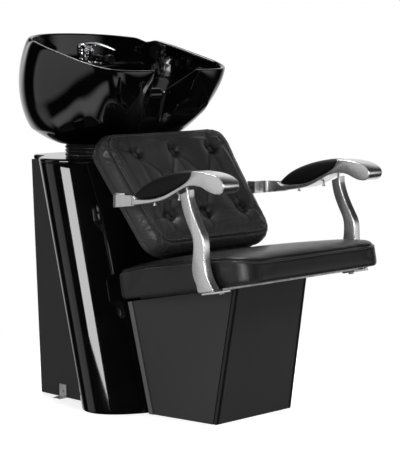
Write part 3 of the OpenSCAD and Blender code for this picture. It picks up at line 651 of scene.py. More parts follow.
def metal(name, color, rough, brush, scale, depth, dark):
    """brush: fineness of the marks along each axis, low along their run; dark: their shade"""
    material, tree, shader = new_material(name)
    marks = noise_tex(tree, object_coords(tree, brush), scale=scale, detail=6, rough=0.7)
    big = noise_tex(tree, object_coords(tree), scale=14, detail=4)
    mark_rough = remap(tree, marks, span=(0.3, 0.7), to=(rough * 0.75, rough * 1.3))
    patches = remap(tree, big, span=(0.3, 0.7), to=(-0.02, 0.03))
    set_inputs(tree, shader, {
        "Metallic": 1,
        "Base Color": color_mix(tree, marks, (*scaled(color, dark), 1), color),
        "Roughness": calc(tree, "ADD", mark_rough, patches),
        "Normal": bump(tree, marks, strength=depth, distance=0.0003)})
    return material


def zinc(name):
    """galvanised, with a flake to each cell"""
    material, tree, shader = new_material(name)
    place = object_coords(tree)
    cells = node(tree, "TexVoronoi", {"Vector": place, "Scale": 160}).outputs["Color"]
    flake = node(tree, "SeparateColor", {0: cells}).outputs
    fine = noise_tex(tree, place, scale=500, detail=3)
    set_inputs(tree, shader, {
        "Metallic": 1,
        "Base Color": color_mix(tree, flake[0], (0.5, 0.51, 0.5, 1), (0.72, 0.73, 0.72)),
        "Roughness": remap(tree, flake[1], span=(0, 1), to=(0.28, 0.5)),
        "Normal": bump(tree, fine, strength=0.12, distance=0.0003)})
    return material


def braid(name, color):
    """two crossing sets of strands"""
    material, tree, shader = new_material(name)
    sets = []
    for turn in ((0, 0.7, 0.5), (0, -0.7, -0.5)):
        inputs = {"Vector": object_coords(tree, turn=turn), "Scale": 150, "Distortion": 0.3}
        sets.append(node(tree, "TexWave", inputs, bands_direction="DIAGONAL").outputs["Fac"])
    strands = calc(tree, "MAXIMUM", *sets)
    set_inputs(tree, shader, {
        "Metallic": 0.9,
        "Base Color": color_mix(tree, strands, (*scaled(color, 0.35), 1), color),
        "Roughness": 0.32,
        "Normal": bump(tree, strands, strength=0.5, distance=0.0006)})
    return material


EVEN = (1, 1, 1)
MAT = {
    "gloss_shell": gloss("gloss_shell_look", (0.0012, 0.0012, 0.0013),
                         rough=0.04, coat=0.3, peel=0.02),
    "basin_gloss": gloss("basin_look", (0.001, 0.001, 0.0011), rough=0.035, coat=0.3, peel=0.012),
    "grey_panel": satin("panel_look", (0.021, 0.021, 0.0214),
                        rough=0.5, grain=1100, depth=0.12, spec=0.35, vary=1.12),
    "frame_steel": satin("frame_look", (0.03, 0.031, 0.033), rough=0.5, grain=700, depth=0.3),
    "zinc_steel": zinc("zinc_look"),
    "chrome": metal("chrome_look", (0.86, 0.86, 0.88),
                    rough=0.06, brush=EVEN, scale=300, depth=0.02, dark=0.95),
    "black_trim": satin("trim_look", (0.004, 0.004, 0.0045), rough=0.3, grain=900, depth=0.1),
    "dark_board": satin("board_look", (0.008, 0.008, 0.008),
                        rough=0.6, grain=300, depth=0.35, spec=0.3),
    "seat_vinyl": leather("seat_look", (0.0068, 0.0068, 0.007),
                          rough=0.33, cell=620, depth=0.14, spec=0.45),
    # the back's crease colour is painted shade, laid into its folds
    "back_vinyl": leather("back_look", (0.0145, 0.0145, 0.0148), rough=0.37, cell=480,
                          depth=0.24, spec=0.5, crease=(0.0012, 0.0012, 0.0012)),
    "cast_aluminium": metal("aluminium_look", (0.93, 0.93, 0.93),
                            rough=0.3, brush=(1.0, 1.0, 0.06), scale=900, depth=0.14, dark=0.93),
    "pad_foam": leather("pad_look", (0.0035, 0.0035, 0.0036),
                        rough=0.5, cell=800, depth=0.22, spec=0.22),
    "nylon_white": satin("nylon_look", (0.7, 0.7, 0.66), rough=0.45, grain=900, depth=0.1),
    "black_rubber": satin("rubber_look", (0.006, 0.006, 0.0065),
                          rough=0.4, grain=500, depth=0.2, spec=0.45),
    "hose_grey": satin("hose_look", (0.4, 0.4, 0.4), rough=0.42, grain=300, depth=0.2),
    "pipe_grey": satin("pipe_look", (0.2, 0.21, 0.22), rough=0.35, grain=200, depth=0.1),
    "brass": metal("brass_look", (0.78, 0.6, 0.3),
                   rough=0.25, brush=EVEN, scale=500, depth=0.08, dark=0.8),
    "braided_hose": braid("braid_look", (0.62, 0.62, 0.63)),
    "thread": satin("thread_look", (0.085, 0.085, 0.086), rough=0.6, grain=2500, depth=0.5),
    "shower_dark": gloss("shower_look", (0.004, 0.004, 0.0042), rough=0.1, coat=0.2, peel=0.05),
    # lighter copy of the black trim: a painted highlight for the rear trims' edges
    "trim_painted_highlight": satin("trim_light_look", (0.06, 0.06, 0.061),
                        rough=0.3, grain=900, depth=0.1, spec=0.5),
    "side_panel": satin("side_panel_look", (0.0155, 0.0155, 0.0158),
                        rough=0.5, grain=1100, depth=0.12, spec=0.32, vary=1.12),
    "neck_gel": gloss("neck_look", (0.0012, 0.0012, 0.0012), rough=0.1, coat=0.2, peel=0.05),
}


def set_look(o, look):
    o.data.materials.clear()
    o.data.materials.append(MAT[look])


def dress(o, look, body, replaces=None, blend=None):
    set_look(o, look)
    if blend:
        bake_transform(o)
    else:
        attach(o, body)
    if replaces:
        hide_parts(replaces)
    return o


def dress_pair(left, look, replaces):
    """dresses a left-hand piece and its mirror image"""
    right = mirror_x(left, left.name.replace("_left", "_right"))
    for o, side in ((left, "left"), (right, "right")):
        dress(o, look, "stand", f"{replaces}_{side}")


for part in frame["record"]["subparts"]:
    piece = frame["nodes"][part["node"]]
    set_look(piece, part["material_slot"])
    shade(piece, 30)
for name in ("column_side_left", "column_side_right", "rear_door"):
    frame["nodes"][name].data.materials[0] = MAT["side_panel"]
# the rear trims are coloured lighter as a painted highlight along their edges
frame["nodes"]["base_rear_trims"].data.materials[0] = MAT["trim_painted_highlight"]

# ------------------------------------------------------------ basin
# The bowl is built from rays about its centre. An angle a is in degrees: 0 runs forwards to
# the neck notch, 90 to the side and 180 to the rear. Sections are (radius, z) points.
RIM_Y, AXIS_Y = 290.0, 300.0            # centres of the rim, and of the drain and foot
RIM_SIDE, RIM_REAR, RIM_FRONT = 253.0, 223.0, 249.0
RIM_WIDTH, LIP_DROP = 13.0, 3
NOTCH_X, NOTCH_Z, NOTCH_REACH, NOTCH_RISE = 82.0, 846.0, 160, 7
HORN_Z = 913                            # where the rim starts beside the notch
FLOOR_Z, DECK_Z, DECK_REACH = 752.0, 925.0, 95
SIDE_BREAK_Y = 372                      # the side rim turns level here
FOOT_Z, FOOT_TOP_Z = 707.0, 738.0
FOOT_OUTER, FOOT_INNER = (172, 132), (160, 120)
DRAIN_R, FLANGE_R, FLANGE_Z = 22.5, 36, 753.4
HORN = math.degrees(math.asin(NOTCH_X / math.hypot(NOTCH_X, RIM_FRONT - 3)))
FLAT = HORN - 3.2                       # the notch floor ends here


def cosd(a):
    return math.cos(rad(a))


def sind(a):
    return math.sin(rad(a))


def rim_r(a):
    """egg-shaped rim: rounder behind, squarer in front"""
    c, s = abs(sind(a)), -cosd(a)
    if s >= 0:
        return ((c / RIM_SIDE) ** 2.15 + (s / RIM_REAR) ** 2.15) ** (-1 / 2.15)
    return ((c / RIM_SIDE) ** 5 + (-s / RIM_FRONT) ** 5) ** (-1 / 5)


def side_z(y):
    """height of the rim along the side"""
    if y < SIDE_BREAK_Y:
        z = 901.5 + 0.2465 * y
        return HORN_Z + math.log1p(math.exp((z - HORN_Z) / 2.5)) * 2.5 if z < 940 else z
    s = (y - SIDE_BREAK_Y) / (RIM_Y + RIM_REAR - SIDE_BREAK_Y)
    return 993.2 + 20 * s - 9 * bell(s - 0.2, 0.13)


def corner(a):
    """0 on the notch floor, 1 on the wing"""
    return float(np.clip((a - FLAT) / (HORN - FLAT), 0, 1))


def edge_r(a):
    if a >= HORN:
        return rim_r(a)
    if a <= FLAT:
        return NOTCH_REACH / cosd(a)
    return mix(NOTCH_REACH / cosd(FLAT), rim_r(HORN), corner(a))


def edge_z(a):
    if a >= HORN:
        return side_z(RIM_Y - rim_r(a) * cosd(a))
    if a <= FLAT:
        return NOTCH_Z + NOTCH_RISE * (a / FLAT) ** 3
    return mix(NOTCH_Z + NOTCH_RISE, HORN_Z, corner(a))


# lower edge of the outer wall: (angle, share of the rim radius) and (angle, z)
low_share = smooth_table([
    (HORN, 1), (32.9, 0.92), (39.7, 0.82), (46.4, 0.75), (62.4, 0.74), (74.6, 0.81),
    (90, 0.9), (110, 0.95), (135, 0.98), (180, 0.985)])
low_z = smooth_table([
    (HORN, 911), (32.9, 826), (39.7, 795), (46.4, 778), (62.4, 757), (74.6, 748),
    (90, 743), (135, 750), (180, 754)])


def outer(a, t):
    """outer wall, t from 0 at the rim to 1 at its lower edge"""
    power = mix(1.6, 6.5, float(ease(50, 120, a)))
    swell = 0.075 * float(ease(60, 110, a)) + 0.04 * float(ease(110, 150, a))
    share = 1 - (1 - low_share(a)) * t ** power + swell * 4 * t * (1 - t)
    return np.array([edge_r(a) * share, mix(edge_z(a), low_z(a), t)])


def foot_r(a, half):
    """radius of the elliptic foot, whose centre lies behind the rim's"""
    c, s, d = sind(a), -cosd(a), AXIS_Y - RIM_Y
    h, k = half
    qa = c * c / (h * h) + s * s / (k * k)
    qb = -2 * s * d / (k * k)
    qc = d * d / (k * k) - 1
    return (-qb + math.sqrt(qb * qb - 4 * qa * qc)) / (2 * qa)


def arch(q, power):
    return (1 - q ** power) ** (1 / power)


def inner_power(a):
    return mix(2.1, 2.8, float(ease(50, 100, a)))


def rear_share(a):
    """0 where the inside is a plain bowl, 1 where it has the rear deck"""
    return float(ease(110, 124, a))


def deck_r(a):
    return DECK_REACH / max(-cosd(a), 0.2)


def inner_plain(a, s):
    q = 1 - s
    r = max((edge_r(a) - RIM_WIDTH) * arch(q, inner_power(a)), 28 * q + 2)
    return np.array([r, mix(FLOOR_Z, edge_z(a) - LIP_DROP, s)])


def inner_deck(a, s):
    """bowl wall to s 0.55, rounded edge to 0.6, level deck to 0.75, then up to the rim"""
    r, lip_r = deck_r(a), edge_r(a) - RIM_WIDTH
    if s <= 0.55:
        q = 1 - s / 0.55
        return np.array([max(r * arch(q, 2.6), 28 * q + 2), mix(FLOOR_Z, DECK_Z - 4, s / 0.55)])
    if s <= 0.6:
        return np.array([r + mix(0, 3, (s - 0.55) / 0.05),
                         mix(DECK_Z - 4, DECK_Z, min(1, (s - 0.55) / 0.04))])
    if s <= 0.75:
        return np.array([mix(r + 3, lip_r - 8, (s - 0.6) / 0.15), DECK_Z])
    return np.array([mix(lip_r - 5, lip_r, min(1, (s - 0.75) / 0.08)),
                     mix(DECK_Z + 2, edge_z(a) - LIP_DROP, (s - 0.75) / 0.25)])


def inner(a, s):
    """inside wall, s from 0 at the drain to 1 at the rim"""
    return mix(inner_plain(a, s), inner_deck(a, s), rear_share(a))


def outer_r_at(a, z):
    return outer(a, min(max((edge_z(a) - z) / (edge_z(a) - low_z(a)), 0), 1))[0]


def inner_r_at(a, z):
    if z < FLOOR_Z + 1:
        return 60
    q = 1 - (z - FLOOR_Z) / (edge_z(a) - LIP_DROP - FLOOR_Z)
    plain = (edge_r(a) - RIM_WIDTH) * arch(max(q, 0), inner_power(a))
    deck = deck_r(a) * arch(max(1 - (z - FLOOR_Z) / (DECK_Z - 4 - FLOOR_Z), 0), 2.6)
    return mix(plain, deck, rear_share(a))


def underside(a):
    """from the foot up inside the outer wall, over and down to the foot's top"""
    f = foot_r(a, FOOT_OUTER)
    top = mix(low_z(a) + 70, DECK_Z - 20, float(ease(112, 126, a)))
    low = low_z(a) + 9
    wall = out_top = outer_r_at(a, top)
    wall = min(outer_r_at(a, low + 30), out_top) - 15
    # front section point, then the point it turns into at the sides and rear
    pairs = (([f - 10, FOOT_Z], [f - 10, FOOT_Z]),
             ([f - 14, 717], [low_share(a) * edge_r(a) - 17, low]),
             ([f - 17, 722], [wall, mix(low, top, 0.45)]),
             ([f - 20, 727], [out_top - 15, top]),
             ([f - 24, 731], [inner_r_at(a, top) + 14, top]),
             ([f - 28, 734], [inner_r_at(a, 805) + 13, 790]),
             ([f - 34, 736], [inner_r_at(a, 775) + 12, 762]))
    w = float(ease(56, 80, a))
    points = [mix(np.array(p, float), np.array(q, float), w) for p, q in pairs]
    return points + [np.array([foot_r(a, FOOT_INNER) * 0.55, FOOT_TOP_Z])]


def round_corner(points, i, size):
    a, b, c = points[i - 1:i + 2]
    la, lc = np.linalg.norm(a - b), np.linalg.norm(c - b)
    p0 = b + (a - b) / max(la, 1e-6) * min(size, la * 0.9)
    p1 = b + (c - b) / max(lc, 1e-6) * min(size, lc * 0.9)
    return points[:i] + bend(p0, b, p1, 4) + points[i + 1:]


INNER_STEPS = [0.55 * (1 - math.cos(rad(90 * u)) ** 0.8) for u in np.linspace(0.03, 1, 26)]
INNER_STEPS += [0.565, 0.58, 0.6, 0.65, 0.7, 0.745, 0.755, 0.77, 0.79, 0.82,
                0.86, 0.9, 0.94, 0.97, 0.99]
OUTER_STEPS = list(1 - (1 - np.linspace(0.0, 1, 34)) ** 1.35)[1:]


def bowl_section(a):
    """one ray: up the inside, over the rim, down the outer wall and along the underside"""
    r, z = edge_r(a), edge_z(a)
    lip = r - RIM_WIDTH
    points = [inner(a, s) for s in INNER_STEPS]
    points += [np.array(q) for q in (
        (lip + 0.2, z - 3.0), (lip + 1.0, z - 1.3), (lip + 3, z - 0.3), (r - RIM_WIDTH * 0.5, z),
        (r - 3.6, z - 0.15), (r - 1.6, z - 1.0), (r - 0.4, z - 2.6))]
    for t in OUTER_STEPS:
        if a < HORN:
            q = np.array([r - 0.3 - 1.7 * t, z - 3 - 2.4 * t])
        else:
            q = outer(a, t)
            q[0] += 5.0 * float(ease(55, 80, a)) * (4 * t * (1 - t)) ** 0.6
            if z - q[1] < 4.0:
                q = np.array([q[0] - 0.1, z - 3.0 - t * 4])
        points.append(q)
    k = len(points) - 1
    low = points[-1] if a < HORN else outer(a, 1)
    foot = np.array([foot_r(a, FOOT_OUTER), FOOT_Z])
    for f in (0.12, 0.25, 0.4, 0.55, 0.7, 0.82, 0.92):
        points.append(mix(low, foot, f) + np.array([0, -4 * math.sin(math.pi * f)]))
    points.append(foot)
    return round_corner(points + underside(a), k, 5.0)


def make_bowl():
    half = [*np.linspace(0, FLAT - 0.4, 9), *np.linspace(FLAT, HORN, 12),
            *np.linspace(HORN + 0.35, 26, 10), *np.arange(27.5, 180, 1.9), 180.0]
    full = half + [360 - a for a in half[-2:0:-1]]
    rays = []
    for a in full:
        q = np.array(bowl_section(a if a <= 180 else 360 - a))
        cy = AXIS_Y + (RIM_Y - AXIS_Y) * ease(26, 110, q[:, 0])
        rays.append(np.c_[q[:, 0] * sind(a), cy - q[:, 0] * cosd(a), q[:, 1]])
    rays = np.array(rays)
    k = len(INNER_STEPS)                # flat seat of the drain flange
    near = np.hypot(rays[:, :k, 0], rays[:, :k, 1] - AXIS_Y) < FLANGE_R
    rays[:, :k, 2] = np.where(near, FLANGE_Z, rays[:, :k, 2])
    loops = [np.array([[DRAIN_R * sind(a), AXIS_Y - DRAIN_R * cosd(a), z] for a in full])
             for z in (FOOT_TOP_Z, 752.6, FLANGE_Z)]
    loops += [rays[:, j] for j in range(rays.shape[1])]
    return mesh_obj("basin_shell", *skin(loops, ring=True), 38)


basin = dress(make_bowl(), "basin_gloss", "basin", "bowl")
soften = basin.modifiers.new("soft", "SUBSURF")
soften.levels = 0
soften.render_levels = 1


def make_neck_roll():
    """roll along x on the notch edge, with rounded ends"""
    r, straight, dome = 18.0, 17.0, 15.0
    half = straight + dome
    profile = [(r * math.sqrt(max(0.0, 1 - (max(0.0, abs(x) - straight) / dome) ** 2.4)), x)
               for x in np.linspace(-half, half, 61)]
    profile[0], profile[-1] = (0, -half), (0, half)
    return revolve("neck_roll", profile, (0, 139, 845), (1, 0, 0), 64, 60)


dress(make_neck_roll(), "neck_gel", "basin", "neck_rest")

# ------------------------------------------------------------ column
SHELL_X, SHELL_Y = 283.0, 143.0         # half axes of the front shell's ellipse
SHELL_Y0, LEAN = 91.0, math.tan(rad(14.5))      # its centre at the floor, and rearward lean
COLUMN_TOP = 675.0
CAP_POINTS, CAP_HOLE_X, CAP_HOLE_Y = 480, 128, 92


def make_shell():
    turn = np.linspace(-math.pi, 0.0, 181)
    extra = np.linspace(0, math.acos(205.5 / SHELL_X), 26)[1:]   # past the widest line
    turn = np.r_[-math.pi - extra[::-1], turn, extra]
    heights = np.r_[0, 0.6, 2, np.linspace(12, 650, 40), 660.5, 661.9, 662.4]
    insets = np.r_[1.2, 0.4, 0, np.zeros(40), 0, 0.4, 1.2]
    loops = []
    for z, d in zip(heights, insets):
        sides = [np.c_[a * np.cos(turn), SHELL_Y0 + z * LEAN + b * np.sin(turn),
                       np.full(len(turn), z)]
                 for a, b in ((SHELL_X - d, SHELL_Y - d), (SHELL_X - 5 + d, SHELL_Y - 5.2 + d))]
        loops.append(np.vstack([sides[0], sides[1][::-1]]))
    return mesh_obj("shell_skin", *skin(loops), 35)


dress(make_shell(), "gloss_shell", "stand", "column_shell")


def reach(outline, centre, angles):
    """furthest distance from centre to the outline along each angle"""
    P = np.asarray(outline, float) - centre
    Q = np.roll(P, -1, 0)
    out = []
    for a in angles:
        d = np.array([math.cos(a), math.sin(a)])
        n = np.array([-d[1], d[0]])
        s0, s1 = P @ n, Q @ n
        k = (s0 * s1 <= 0) & (np.abs(s0 - s1) > 1e-9)
        t = s0[k] / (s0[k] - s1[k])
        h = (P[k] + (Q[k] - P[k]) * t[:, None]) @ d
        out.append(h.max() if len(h) else 0)
    return np.array(out)


def make_cap():
    """plate over shell and box, with an elliptic hole"""
    angles = np.linspace(0, TAU, CAP_POINTS, endpoint=False)
    centre = np.array([0, AXIS_Y])
    e = np.radians(np.arange(0, 360, 0.75))
    ellipse = np.c_[SHELL_X * np.cos(e),
                    SHELL_Y0 + (COLUMN_TOP - 6) * LEAN + SHELL_Y * np.sin(e)]
    box = trapezoid(205, 280, 205, 434, 1, 38, 14)
    R = np.maximum(reach(ellipse, centre, angles), reach(box, centre, angles))
    rim = centre + np.c_[np.cos(angles), np.sin(angles)] * R[:, None]
    for _ in range(3):
        rim = (np.roll(rim, 1, 0) + 2 * rim + np.roll(rim, -1, 0)) / 4

    def hole(d):
        return centre + np.c_[(CAP_HOLE_X - d) * np.cos(angles), (CAP_HOLE_Y - d) * np.sin(angles)]

    loops = stack(rim, ((663, 2.0), (663.6, 0.8), (665, 0), (669, 0), (671.3, 0.5),
                        (673.2, 1.7), (674.4, 3.4), (674.9, 5.4), (COLUMN_TOP, 8)))
    for t in (0.4, 0.8):
        loops.append(np.c_[mix(inset(rim, 8), hole(0), t), np.full(CAP_POINTS, COLUMN_TOP)])
    for z, d in ((COLUMN_TOP, -2), (674.4, -0.6), (673, 0), (665, 0), (663, -1)):
        loops.append(np.c_[hole(d), np.full(CAP_POINTS, z)])
    return mesh_obj("column_cap", *skin(loops, ring=True), 35)


dress(make_cap(), "gloss_shell", "stand", "column_top")


def make_bellows():
    """elliptic sleeve with three folds between column and basin"""
    a = np.linspace(0, TAU, 128, endpoint=False)

    def loop(grow, t):
        return np.c_[(149.5 + grow) * np.cos(a), AXIS_Y + (111.5 + grow) * np.sin(a),
                     np.full(128, 676 + 30 * t)]

    loops = [loop(4.0 * (0.5 + 0.5 * math.cos(TAU * 3 * t)) ** 0.7, t)
             for t in np.linspace(0, 1, 49)]
    loops += [loop(-8.5, t) for t in np.linspace(1, 0, 13)]
    return mesh_obj("bellows_skin", *skin(loops, ring=True), 60)


dress(make_bellows(), "black_rubber", None, "bellows",
      blend=("stand", "basin", (0, 0.3, 0.678), (0, 0.3, 0.704)))

# ------------------------------------------------------------ hoses
TAP_Y = 431
waste_path = chain([0, AXIS_Y, 638], (120, [0, AXIS_Y, 420], [60, 230, 420], [60, 230, 181]),
                   end=True)
dress(tube("waste_hose", waste_path, r=19, sides=28, step=1.5, rib=3, pitch=9.0),
      "hose_grey", None, "drain_hose", blend=("stand", "basin", (0, 0.3, 0.44), (0, 0.3, 0.63)))


def supply_hose(s):
    path = chain([s * 7, TAP_Y, 878],
                 (60, [s * 8, TAP_Y, 800], [s * 55, 372, 760], [s * 60, 361, 640]),
                 (80, [s * 60, 359, 540], [s * 50, 345, 300], [s * 50, 345, 121]), end=True)
    return tube(f"hose_{s}", path, r=5.5, sides=14, step=5)


dress(merge("supply_hose_pair", [supply_hose(s) for s in (-1, 1)], 60), "braided_hose", None,
      "supply_hoses", blend=("stand", "basin", (0, 0.36, 0.6), (0, 0.43, 0.86)))
shower_path = chain([48, 469.3, 943.7],
                    (30, [48, 482, 944.4], [48, 478, 925], [48, 475, 890]),
                    (30, [48, 475, 860], [30, 470, 850], [21, 452, 868]), end=True)
dress(tube("shower_hose_run", shower_path, r=5.3, sides=16, step=0.8, rib=0.5, pitch=2.4),
      "braided_hose", None, "shower_hose",
      blend=("basin", "handset", (0.048, 0.478, 0.90), (0.048, 0.4693, 0.9437)))

# ------------------------------------------------------------ hand shower and mixer tap
HANDSET = (48, 430, 941)
HANDSET_AXIS = Vector((0, -math.cos(rad(4)), -math.sin(rad(4))))    # forwards, slightly down
LEVER_Y, LEVER_Z = 411.0, 974.0
# profiles are (radius, height along the axis)
HANDSET_PROFILE = [(0, -38), (6.5, -38), (6.5, -30), (9.4, -30), (9.4, -22), (8.9, -21),
                   (9.4, -20), (9.4, 34), (15, 56), (15, 66), (13.8, 68), (12.2, 68),
                   (11.9, 66.6), (0, 66.6)]
JET_PROFILE = [(0, 0), (0.9, 0), (0.9, 1.0), (0.6, 1.3), (0, 1.3)]
JET_RINGS = ((1, 0), (6, 4.2), (12, 8.6))       # jets in the ring, ring radius
DOME_PROFILE = [(0, 960), (18, 960), (18, 966), (17.2, 966.8), (18, 967.6), (18, 972),
                (16.4, 977), (12.4, 981.6), (6.5, 984), (0, 984.4)]
BASE_PROFILE = [(0, 925.3), (26, 925.3), (26, 928.2), (24.4, 930), (18.6, 931), (18, 932.5),
                (18, 941), (17.3, 941.8), (17.3, 943), (18, 943.8), (18, 958.4),
                (17.2, 959.4), (0, 959.4)]
STEM_PROFILE = [(0, 0), (10.8, 0), (9.4, 4), (7.2, 10), (6.6, 22), (7.0, 36), (7.0, 41.2),
                (5.8, 42), (0, 42)]
ARM_PROFILE = [(0, 0), (6, 0), (6, 34.5), (4.6, 36), (0, 36)]
SHANK_PROFILE = [(0, 880), (14.2, 880), (15, 881), (15, 926), (0, 926)]
STEM_FOOT_PROFILE = [(0, 925.4), (13, 925.4), (13, 927.6), (11, 929.6), (0, 929.6)]
EAR_OUTLINE = [(LEVER_Y, 967), (424, 967), (424, 978), (415, 979.5), (408, 978.5),
               (405.2, 974), (406.4, 969.5)]    # (y, z)


def make_jets():
    jets = []
    for count, r in JET_RINGS:
        for k in range(count):
            a = TAU * k / count
            place = Vector((HANDSET[0] + r * math.cos(a), HANDSET[1],
                            HANDSET[2] + r * math.sin(a))) + HANDSET_AXIS * 66.3
            jets.append(revolve(f"jet{count}_{k}", JET_PROFILE, place, HANDSET_AXIS, 10))
    return jets


handset = revolve("handset_body", fillet(HANDSET_PROFILE, 1.1), HANDSET, HANDSET_AXIS, 56)
jets = make_jets()
dress(handset, "shower_dark", "handset", "hand_shower")
dress(merge("handset_jets", jets), "black_rubber", "handset")

dress(revolve("cap_dome", fillet(DOME_PROFILE, 2.0, 4), (0, TAP_Y, 0), UP, 72),
      "chrome", "tap_cap", "mixer_cap")
ears = [extrude_x(f"ear{s}", EAR_OUTLINE, *sorted((s * 11.6, s * 15)), r=0.8, steps=2)
        for s in (-1, 1)]
dress(merge("cap_ears", ears), "chrome", "tap_cap")


def make_lever():
    """blade from a root between the ears, thinning to a rounded tip"""
    mid = chain([6, 4.5], (8, [0, 7.5], [-8, 8.5], [-20, 9]),
                (30, [-50, 9], [-85, 0], [-118.6, -9]), end=True)
    run = -mid[:, 0]
    half = np.interp(run, [-8, 0, 20, 60, 100, 112, 117, 119.2],
                     [8, 10.5, 9.2, 7.4, 5.8, 4.9, 3.2, 0.6])
    thick = np.interp(run, [-8, 0, 12, 40, 80, 112, 119.2], [7, 13, 12.5, 10, 7.2, 3.4, 0.9])
    t = np.gradient(mid, axis=0)
    t /= np.linalg.norm(t, axis=1)[:, None]
    n = np.stack([t[:, 1], -t[:, 0]], 1)
    n[n[:, 1] < 0] *= -1
    a = np.linspace(0, TAU, 28, endpoint=False)
    cos, sin = np.cos(a), np.sin(a)
    loops = []
    for i in range(len(mid)):
        x = half[i] * np.sign(cos) * np.abs(cos) ** 0.75
        up = thick[i] * 0.5 * np.sign(sin) * np.abs(sin) ** 0.9
        # shallow dish on top
        up = up + np.where(up > 0, -0.35 * thick[i] * 0.5 * (1 - np.abs(cos)), 0)
        loops.append(np.c_[x, LEVER_Y + mid[i, 0] + n[i, 0] * up,
                           LEVER_Z + mid[i, 1] + n[i, 1] * up])
    return mesh_obj("lever_blade", *skin(loops), 50)


blade = make_lever()
axle = revolve("lever_axle", fillet([(0, -14.6), (2.5, -14.6), (2.5, 14.6), (0, 14.6)], 0.4),
               (0, LEVER_Y, LEVER_Z), (1, 0, 0), 24)
dress(merge("tap_lever_blade", [blade, axle], 50), "chrome", "tap_lever", "lever")


def leaning(angle):
    """direction tilted forwards from upright"""
    return Vector((0, -math.sin(rad(angle)), math.cos(rad(angle))))


tower = [
    revolve("mix_base", fillet(BASE_PROFILE, 1.3), (0, TAP_Y, 0), UP, 72),
    revolve("mix_stem", fillet(STEM_PROFILE, 1.6), (0, 406, 926), leaning(20), 48),
    revolve("mix_arm", fillet(ARM_PROFILE, 1.2), (0, TAP_Y, 949), leaning(82), 40),
    revolve("mix_shank", SHANK_PROFILE, (0, TAP_Y, 0), UP, 40),
    revolve("mix_foot", fillet(STEM_FOOT_PROFILE, 1.2), (0, 407, 0), UP, 48),
]
dress(merge("mixer_tower", tower, 38), "chrome", "basin", "mixer_body")

# ------------------------------------------------------------ armrests
ARM_X, ARM_WIDTH, ARM_SHIFT = 304.0, 56.0, 6.0  # outer face, width, move along y
# (y, z) outlines before the move: the underside, the nose, and the hollow for the pad
ARM_LOW = chain([-40, 567], (20, [-80, 571], [-140, 579], [-203, 592]),
                (26, [-262, 606], [-285, 640], [-336, 640]),
                (18, [-372, 640], [-380, 624], [-412, 624]),
                (12, [-428, 624], [-437, 634], [-437, 644]))
ARM_NOSE = np.vstack([chain([-437, 644], (26, [-437, 662], [-404, 674], [-350, 675]), end=True),
                      [[-337, 675.2], [-324, 675]]])
ARM_HOLLOW = np.vstack([chain([-324, 673], (26, [-320, 650], [-290, 638], [-238, 614]),
                              (20, [-200, 598], [-160, 592], [-122, 593]), end=True),
                        [[-112, 599], [-106, 600]]])
PAD_TOP = chain([-113, 601], (80, [-140, 637], [-220, 666], [-323, 675.5]))
POST_REAR = np.vstack([chain([-281, 615.5], (22, [-284, 580], [-300, 552], [-316, 526]),
                             (20, [-332, 500], [-325, 474], [-322, 446]),
                             (14, [-320, 425], [-326, 406], [-339, 391])),
                       [[-341, 378], [-343.5, 374.4], [-349, 373.8]]])
POST_FRONT = np.vstack([[[-390, 381.2], [-396, 384]],
                        chain([-398, 388], (14, [-384, 404], [-370, 425], [-367, 450]),
                              (20, [-364, 490], [-368, 505], [-354, 526]),
                              (22, [-338, 552], [-318, 580], [-310, 618])),
                        [[-310, 628.2], [-301, 624.0], [-290, 619.0]]])
# plate in the seat's frame: (x, y) outline and (z, inset) levels
PLATE = [(238.5, -369), (276, -369), (298, -369), (298, -327), (276, -327), (238.5, -327)]
PLATE_LEVELS = ((-11, 0.8), (-10.3, 0), (-6.9, 0), (-6.2, 0.8))


def make_arm():
    low = ARM_LOW[ARM_LOW[:, 0] < -105.5]
    P = np.vstack([[[-104.8, 575.0]], low, ARM_NOSE, ARM_HOLLOW]) + [ARM_SHIFT, 0]
    return extrude_x("arm_casting_left", P, ARM_X - ARM_WIDTH, ARM_X, r=2.6, steps=4, smooth=32)


def make_post():
    P = np.vstack([POST_REAR, POST_FRONT]) + [ARM_SHIFT, 0]
    return extrude_x("post_leg", P, ARM_X - 27, ARM_X - 4, r=3.2, steps=5, smooth=40)


def make_plate():
    """plate that turns in under the cushion"""
    V, F = skin(stack(resample(PLATE, 96), PLATE_LEVELS))
    return mesh_obj("post_plate", seat_world(V), F, 50)


dress_pair(make_arm(), "cast_aluminium", "armrest")
dress_pair(merge("post_left", [make_post(), make_plate()]), "cast_aluminium", "armrest_post")


def make_pad():
    """leaf-shaped pad between the casting's hollow and a crowned top"""
    hollow = ARM_HOLLOW[1:][::-1] + [0, 1.2]
    ys = np.linspace(-116, -322, 64)
    low = np.interp(-ys, -hollow[:, 0], hollow[:, 1])
    high = np.interp(-ys, -PAD_TOP[:, 0], PAD_TOP[:, 1])
    middle, half = ARM_X - ARM_WIDTH / 2, ARM_WIDTH / 2 - 2.2
    u = np.linspace(0, TAU, 40, endpoint=False)
    cx = np.sign(np.cos(u)) * np.abs(np.cos(u)) ** 0.42
    cz = np.sign(np.sin(u)) * np.abs(np.sin(u)) ** 0.5
    loops = []
    for y, a, b in zip(ys, low, high):
        b = max(b - 1.5, a + 2)
        crown = 4.5 * min(1, (b - a) / 30)
        z = mix(a, b, 0.5 + 0.5 * cz) + np.where(cz > 0, crown * (1 - cx ** 2) * cz, 0)
        loops.append(np.c_[middle + half * cx, np.full(40, y + ARM_SHIFT), z])
    return mesh_obj("pad_cover_left", *skin(loops), 60)


def pad_pin(V, N):
    return (N[:, 2] < -0.3).astype(float)


pad = puff(make_pad(), voxel=3.5, pin=pad_pin, reach=2.2, pressure=4, frames=14)
points = coords(pad)
points[:, 0] = np.clip(points[:, 0], ARM_X - ARM_WIDTH + 0.3, ARM_X - 0.3)
set_coords(pad, points)
dress_pair(pad, "pad_foam", "armrest_pad")

